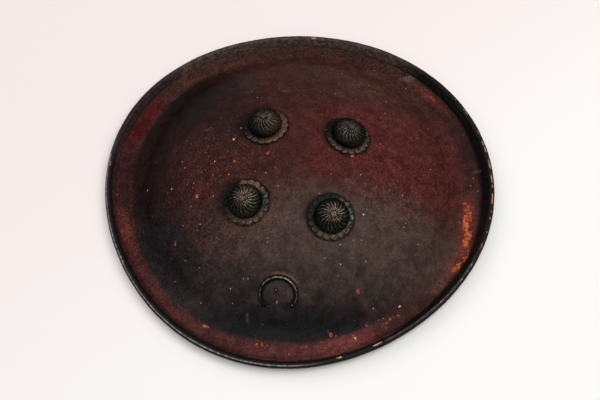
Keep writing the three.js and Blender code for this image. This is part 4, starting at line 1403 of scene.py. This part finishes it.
def make_nail(name, place, rests, shine):
    """A nail with a domed head outside, its point clenched on the inside of the hide."""
    under = -seat_depth
    head = [
        (NAIL_HEAD * math.cos(t), rests + NAIL_HEIGHT * math.sin(t)) for t in np.linspace(1.5, 0, 8)
    ]
    point = [
        (NAIL_SHANK, rests), (NAIL_SHANK, under), (NAIL_HEAD * 0.7, under),
        (NAIL_HEAD * 0.6, under - NAIL_CLENCH),
    ]
    nail = lathe(head + point, NAIL_SIDES, NAIL_DENTS, seed=3)
    # A painted highlight on the middle of the head, as strong as shine
    out = np.hypot(nail[0][:, 0], nail[0][:, 1]) / NAIL_HEAD
    mesh_object(
        name + "_head", moved(on_dome(nail, place), crescent_seat), "shell", "boss_iron", name,
        ridge=shine * (1 - smoothstep(out, 0.15, 0.6)),
    )


# The cushion and the grips

def applied(piece):
    """The piece's mesh with its modifiers in it."""
    graph = bpy.context.evaluated_depsgraph_get()
    mesh = bpy.data.meshes.new_from_object(piece.evaluated_get(graph))
    piece.modifiers.clear()
    piece.data = mesh


def places_of(mesh):
    places = np.zeros(len(mesh.vertices) * 3)
    mesh.vertices.foreach_get("co", places)
    return places.reshape(-1, 3)


def swell(piece, voxel, cap):
    """Stuffs a closed piece: its cloth swells, and no point goes further than the cap."""
    remesh = piece.modifiers.new("remesh", "REMESH")
    remesh.mode = "VOXEL"
    remesh.voxel_size = voxel
    applied(piece)
    start = places_of(piece.data)
    cloth = piece.modifiers.new("cloth", "CLOTH")
    cloth.settings.use_pressure = True
    cloth.settings.uniform_pressure_force = STUFFING_PRESSURE
    cloth.settings.effector_weights.gravity = 0
    cloth.point_cache.frame_end = STUFFING_FRAMES
    for step in range(1, STUFFING_FRAMES + 1):
        bpy.context.scene.frame_set(step)
    applied(piece)
    bpy.context.scene.frame_set(1)
    way = places_of(piece.data) - start
    far = np.linalg.norm(way, axis=1)[:, None]
    settled = start + way * np.minimum(1, cap / np.maximum(far, 1e-9))
    piece.data.vertices.foreach_set("co", settled.ravel())
    smooth = piece.modifiers.new("smooth", "SUBSURF")
    smooth.levels = smooth.render_levels = 2
    applied(piece)


def soft_piece(name, shape, body, slot, node, voxel, cap, sew):
    """A padded piece: its shape swells as cloth, and is then sewn, which also marks its seams."""
    piece = closed_object(name, shape)
    swell(piece, voxel, cap)
    places, seam = sew(places_of(piece.data))
    piece.data.vertices.foreach_set("co", places.ravel())
    piece.data.update()
    finish_piece(piece, body, slot, node, dict(seam=seam))


def cushion_place(u, v, depth):
    """A place in the cushion, from u and v of -1 to 1 and a depth below the hide's face."""
    rounded = 1 - CUSHION_ROUND * (u * v) ** 4
    across = u * (BOSS_ROW_PITCH / 2 + CUSHION_MARGIN) * rounded * (1 - CUSHION_DRAW * (1 - v * v))
    half = half_column_at(across) + CUSHION_MARGIN
    along = v * half * rounded * (1 - CUSHION_DRAW * (1 - u * u))
    x = BOSS_CENTRE[0] + across * math.cos(BOSS_TURN)
    y = BOSS_CENTRE[1] + across * math.sin(BOSS_TURN) + along
    out = np.stack([x, y, np.sqrt(DOME_RADIUS**2 - x * x - y * y)], axis=-1)
    out = out * ((DOME_RADIUS - depth) / DOME_RADIUS)[..., None]
    return out + np.array([0, 0, dome_centre_z]) + ORIGIN


def cushion_depth(u, v):
    """How far below the seat the cushion's underside is."""
    full = np.sqrt(np.clip((1 - u**4) * (1 - v**4), 0, 1))
    return CUSHION_EDGE + (CUSHION_CROWN - CUSHION_EDGE) * full


def cushion_shape():
    """The cushion before it is stuffed, a little thinner than it will be."""
    n = CUSHION_STEPS
    side = np.linspace(-CUSHION_REACH, CUSHION_REACH, n)
    u, v = np.meshgrid(side, side, indexing="ij")
    top = cushion_place(u, v, seat_depth + SEAT_GAP + 0 * u)
    under = cushion_place(u, v, seat_depth + cushion_depth(u, v) - CUSHION_SLACK)
    points = np.vstack([top.reshape(-1, 3), under.reshape(-1, 3)])
    faces = []
    for i in range(n - 1):
        for j in range(n - 1):
            a = i * n + j
            faces.append((a, a + 1, a + n + 1, a + n))
            faces.append((n * n + a, n * n + a + n, n * n + a + n + 1, n * n + a + 1))
    rim = [i * n for i in range(n)] + [(n - 1) * n + j for j in range(1, n)]
    rim += [i * n + n - 1 for i in range(n - 2, -1, -1)] + list(range(n - 2, 0, -1))
    for a, b in zip(rim, rim[1:] + rim[:1]):
        faces.append((a, b, n * n + b, n * n + a))
    return points, faces


def pressed_by_washer(places, depth, low, site):
    """Gathers the cushion in folds round a washer, and presses it in under that."""
    local = through(places, boss_seat(site).inverted())
    out = np.hypot(local[:, 0], local[:, 1])
    folds = bell(out, FOLDS_AT, FOLDS_WIDE) * np.cos(FOLDS * np.arctan2(local[:, 1], local[:, 0]))
    pressed = seat_depth + CUSHION_CORNER + np.maximum(0, out - WASHER_RADIUS - DIMPLE_PLAY)
    return np.minimum(depth - STITCH_HEIGHT * folds * low, pressed)


def sew_cushion(places):
    """Sews the two diagonal channels, presses in the washers and keeps clear of the hide."""
    centre = np.array([0, 0, dome_centre_z]) + ORIGIN
    away = places - centre
    reach = np.linalg.norm(away, axis=1)
    depth = DOME_RADIUS - reach
    flat = away[:, :2] * (DOME_RADIUS / reach)[:, None] - np.array(BOSS_CENTRE)
    across = flat[:, 0] / math.cos(BOSS_TURN)
    along = flat[:, 1] - across * math.sin(BOSS_TURN)
    half_row = BOSS_ROW_PITCH / 2 + CUSHION_MARGIN
    u, v = across / half_row, along / (half_column_at(across) + CUSHION_MARGIN)
    off = np.minimum(np.abs(u - v), np.abs(u + v)) * half_row * math.sqrt(0.5)
    low = smoothstep(depth, seat_depth + 1.5 * MM, seat_depth + 4 * MM)
    full = np.clip((1 - u**4) * (1 - v**4), 0, 1)
    depth = depth - low * full * CHANNEL_DEPTH * bell(off, 0, CHANNEL_WIDTH)
    depth = depth + STITCH_HEIGHT * np.cos(across / STITCH_STEP) * bell(off, 0, MM) * low * full
    for site in BOSSES:
        depth = pressed_by_washer(places, depth, low, site)
    depth = np.maximum(depth, HIDE + CUSHION_CLEAR)
    seam = bell(off, 0, SEAM_WIDTH) * low * full
    return centre + away * ((DOME_RADIUS - depth) / reach)[:, None], seam


def make_cushion():
    """The stuffed cushion, and the cord sewn round its edge."""
    soft_piece(
        "knuckle_cushion", cushion_shape(), "shell", "cushion_cloth", "cushion",
        voxel=4.5 * MM, cap=1.6 * MM, sew=sew_cushion,
    )
    t = np.linspace(-1, 1, PIPING_STEPS)[:-1]
    one = np.ones_like(t)
    u = np.concatenate([one, -t, -one, t])
    v = np.concatenate([t, one, -t, -one])
    line = cushion_place(u, v, np.full(len(u), seat_depth + CUSHION_EDGE / 2 + PIPING_DROP))
    mesh_object("cushion_piping", tube(line, PIPING, PIPING_SIDES, closed=True), "shell", "cushion_cloth")


class Grip:
    """Where one grip hangs, along the line between its two rings' lowest points."""

    def __init__(self, side):
        drop = Vector((0, 0, RING_RADIUS))
        back = ring_middle("back_" + side) - drop
        front = ring_middle("front_" + side) - drop
        across = Vector((1, 0, 0))
        along = (back - front).normalized()
        self.matrix = Matrix((across, along, across.cross(along))).transposed().to_4x4()
        self.matrix.translation = (back + front) / 2
        self.end = (back - front).length / 2
        self.pad_end = self.end - PAD_CLEAR
        self.side = side
        self.body = "grip_" + side

    def sag(self, y):
        return -GRIP_BOW * (1 - np.minimum(1, np.abs(y) / self.end) ** 2)


def squarish(values, power):
    return np.sign(values) * np.abs(values) ** power


def make_strap(grip):
    """A leather band looped round both rings and sewn flat on itself between them."""
    loop = LOOP_BORE + BAND / 2
    y = (grip.end + loop) * np.sin(np.linspace(-QUARTER, QUARTER, STRAP_STEPS))
    beyond = np.abs(y) - grip.end
    turning = np.sqrt(np.maximum(0, loop**2 - beyond**2))
    half = np.where(beyond > 0, turning, (turning**4 + (BAND / 2 + SEWN_GAP) ** 4) ** 0.25)
    upper = np.stack([y, grip.sag(y) + half], axis=-1)
    lower = np.stack([y, grip.sag(y) - half], axis=-1)[::-1]
    line = np.vstack([upper, lower[1:-1]])
    along = tangents(line)
    normal = np.stack([-along[:, 1], along[:, 0]], axis=-1)
    t = round_steps(STRAP_SIDES)
    side = STRAP_WIDTH / 2 * squarish(np.cos(t), 0.3)
    off = BAND / 2 * squarish(np.sin(t), 0.6)
    rows = np.stack([
        np.broadcast_to(side, (len(line), len(t))),
        line[:, None, 0] + normal[:, None, 0] * off,
        line[:, None, 1] + normal[:, None, 1] * off,
    ], axis=-1)
    mesh_object(
        "leather_band_" + grip.side, moved(looped(rows), grip.matrix), grip.body, "strap_leather",
        "grip_strap_" + grip.side, ridge=np.tile(0.5 * np.abs(np.cos(t)) ** 6, len(line)),
    )


def make_stitches(grip):
    """The thread that closes the band's loops, beside each ring."""
    stitches = []
    for end in (-1, 1):
        y = end * (grip.end - STITCH_AWAY)
        for face in (-1, 1):
            z = grip.sag(y) + face * (BAND + SEWN_GAP)
            for x in np.linspace(-STITCH_SPREAD, STITCH_SPREAD, STITCHES) * STRAP_WIDTH:
                line = [
                    (x + s * STITCH_HALF, y, z + face * SEWN_GAP * (1 - s * s))
                    for s in (-1, -0.5, 0, 0.5, 1)
                ]
                stitches.append(tube(line, STITCH_THREAD))
    shape = moved(joined(*stitches), grip.matrix)
    mesh_object("loop_stitches_" + grip.side, shape, grip.body, "binding_thread")


def sleeve(grip, stations):
    """Round-about rows along the grip, given by their place and half sizes."""
    a = round_steps(SLEEVE_SIDES)
    rows = [
        np.stack([wide * np.sin(a), y + 0 * a, grip.sag(y) + deep * np.cos(a)], axis=-1)
        for y, wide, deep in stations
    ]
    return capped(rows)


def make_pad(grip):
    """The stuffed sleeve that the hand closes on."""
    stations = []
    for t in np.linspace(-1, 1, PAD_STEPS):
        full = PAD_SLACK * (PAD_END + (1 - PAD_END) * math.sqrt(1 - t**4))
        stations.append((PAD_SHORT * t * grip.pad_end, full * PAD_WIDTH / 2, full * PAD_DEPTH / 2))

    def sew(places):
        """Gathers the ends, and sews the seam that runs along the grip's underside."""
        local = through(places, grip.matrix.inverted())
        x, y = local[:, 0], np.clip(local[:, 1], -grip.pad_end, grip.pad_end)
        z = local[:, 2] - grip.sag(y)
        turn = np.arctan2(x, z)
        ends = smoothstep(np.abs(y) / grip.pad_end, PAD_GATHERED, 1)
        gathers = np.cos(PAD_FOLDS * turn)
        under = bell(math.pi - np.abs(turn), 0, PAD_SEAM)
        ticks = 0.5 + 0.5 * np.cos(y / PAD_STITCH_STEP)
        folds = 1 + PAD_FOLD_DEPTH * ends * gathers
        folds = folds - PAD_FOLD_DEPTH * under * (1 - ends) * (0.6 + 0.4 * ticks)
        local = np.stack([x * folds, y, grip.sag(y) + z * folds], axis=-1)
        # The seam mark also paints shade in the hollows of the gathers at the pad's ends
        seam = under * (1 - ends) * (0.4 + 0.6 * ticks) + 0.5 * ends * (1 - gathers) / 2
        return through(local, grip.matrix), np.clip(seam, 0, 1)

    soft_piece(
        "padded_sleeve_" + grip.side, moved(sleeve(grip, stations), grip.matrix), grip.body,
        "grip_cloth", "grip_pad_" + grip.side, voxel=4 * MM, cap=0.9 * MM, sew=sew,
    )


def tie_taper(t):
    """The winding is a little slimmer at its two ends, t of -1 and 1."""
    return 1 - 0.1 * t**4


def make_tie(grip, name, end):
    """Thread wound close round the neck of the padding."""
    middle = end * (grip.pad_end + TIE_PLAY + TIE_LENGTH / 2)
    s = np.linspace(-1, 1, TIE_STEPS * TIE_TURNS)
    y = middle + s * (TIE_LENGTH / 2 - THREAD)
    a = s * TIE_TURNS * math.pi
    wide, deep = (TIE_WIDE - THREAD) * tie_taper(s), (TIE_DEEP - THREAD) * tie_taper(s)
    line = np.stack([wide * np.sin(a), y, grip.sag(y) + deep * np.cos(a)], axis=-1)
    wide, deep = TIE_WIDE - 2 * THREAD, TIE_DEEP - 2 * THREAD
    core = [
        (middle + t * TIE_LENGTH / 2, wide * tie_taper(t), deep * tie_taper(t))
        for t in np.linspace(-0.96, 0.96, 9)
    ]
    mesh_object(
        f"wound_thread_{grip.side}_{name}",
        moved(joined(tube(line, THREAD), sleeve(grip, core)), grip.matrix),
        grip.body, "binding_thread", f"grip_tie_{grip.side}_{name}",
    )


# Table, light and camera

def make_table():
    """A broad pale table, a little rosier on its left."""
    half = TABLE_HALF
    corners = [(-half, -half, 0), (half, -half, 0), (half, half, 0), (-half, half, 0)]
    mesh = bpy.data.meshes.new("table")
    mesh.from_pydata(corners, [], [(0, 1, 2, 3)])
    s = Shader("table")
    x, y = s.parts(s.place, "XYZ")[:2]
    s.colour = s.mix(s.step(s.less(x, y), -0.35, 0.3), TABLE_LEFT, TABLE_RIGHT)
    mesh.materials.append(s.finish(Roughness=0.7, Specular_IOR_Level=0.2))
    new_object("table", mesh)


def aimed(thing, way, place):
    """Puts a lamp or camera at its place, looking back along its way."""
    thing.location = place
    thing.rotation_euler = (-way).to_track_quat("-Z", "Y").to_euler()
    return thing


def area_light(name, way, away, size, power, colour):
    light = bpy.data.lights.new(name, "AREA")
    light.shape = "DISK"
    light.size = size
    light.energy = power
    light.color = colour
    way = Vector(way).normalized()
    aimed(new_object(name, light), way, way * away)


def make_world():
    """The room's own light, brighter overhead."""
    world = bpy.data.worlds.new("room")
    world.use_nodes = True
    s = Nodes(world.node_tree)
    background = s.tree.nodes["Background"]
    height = s.parts(s.add("ShaderNodeTexCoord").outputs["Generated"], "XYZ")[2]
    s.feed(background.inputs["Color"], ROOM_COLOUR)
    s.feed(background.inputs["Strength"], s.step(height, 0.1, 0.9, ROOM_LOW, ROOM_HIGH))
    bpy.context.scene.world = world


def make_camera():
    lens = bpy.data.cameras.new("camera")
    lens.sensor_width = CAMERA_SENSOR
    lens.lens = CAMERA_LENS
    toward = Vector((
        math.cos(CAMERA_RISE) * math.sin(CAMERA_TURN),
        -math.cos(CAMERA_RISE) * math.cos(CAMERA_TURN),
        math.sin(CAMERA_RISE),
    ))
    camera = new_object("camera", lens)
    bpy.context.scene.camera = aimed(camera, toward, Vector(CAMERA_AIM) + CAMERA_AWAY * toward)


make_hide()
make_binding()
for site in BOSSES:
    seat = boss_seat(site)
    make_flange(seat, site)
    make_cap(seat, site)
    make_bolt(seat, site)
    make_washer(seat, site)
    make_ring(site)
make_crescent()
pad_top = 2 * SEAT_GAP + NAIL_PAD_HEIGHT
make_nail("crescent_nail_left", nail_places[0], pad_top, 0.2)
make_nail("crescent_nail_right", nail_places[1], pad_top, 1.0)
make_nail("centre_nail", nail_places[2], SEAT_GAP, 0.5)
make_cushion()
for side in ("left", "right"):
    grip = Grip(side)
    make_strap(grip)
    make_stitches(grip)
    make_pad(grip)
    make_tie(grip, "front", -1)
    make_tie(grip, "back", 1)

make_table()
for name, lamp in LAMPS.items():
    area_light(name, *lamp)
make_world()
make_camera()
bpy.context.scene.view_settings.view_transform = "Standard"
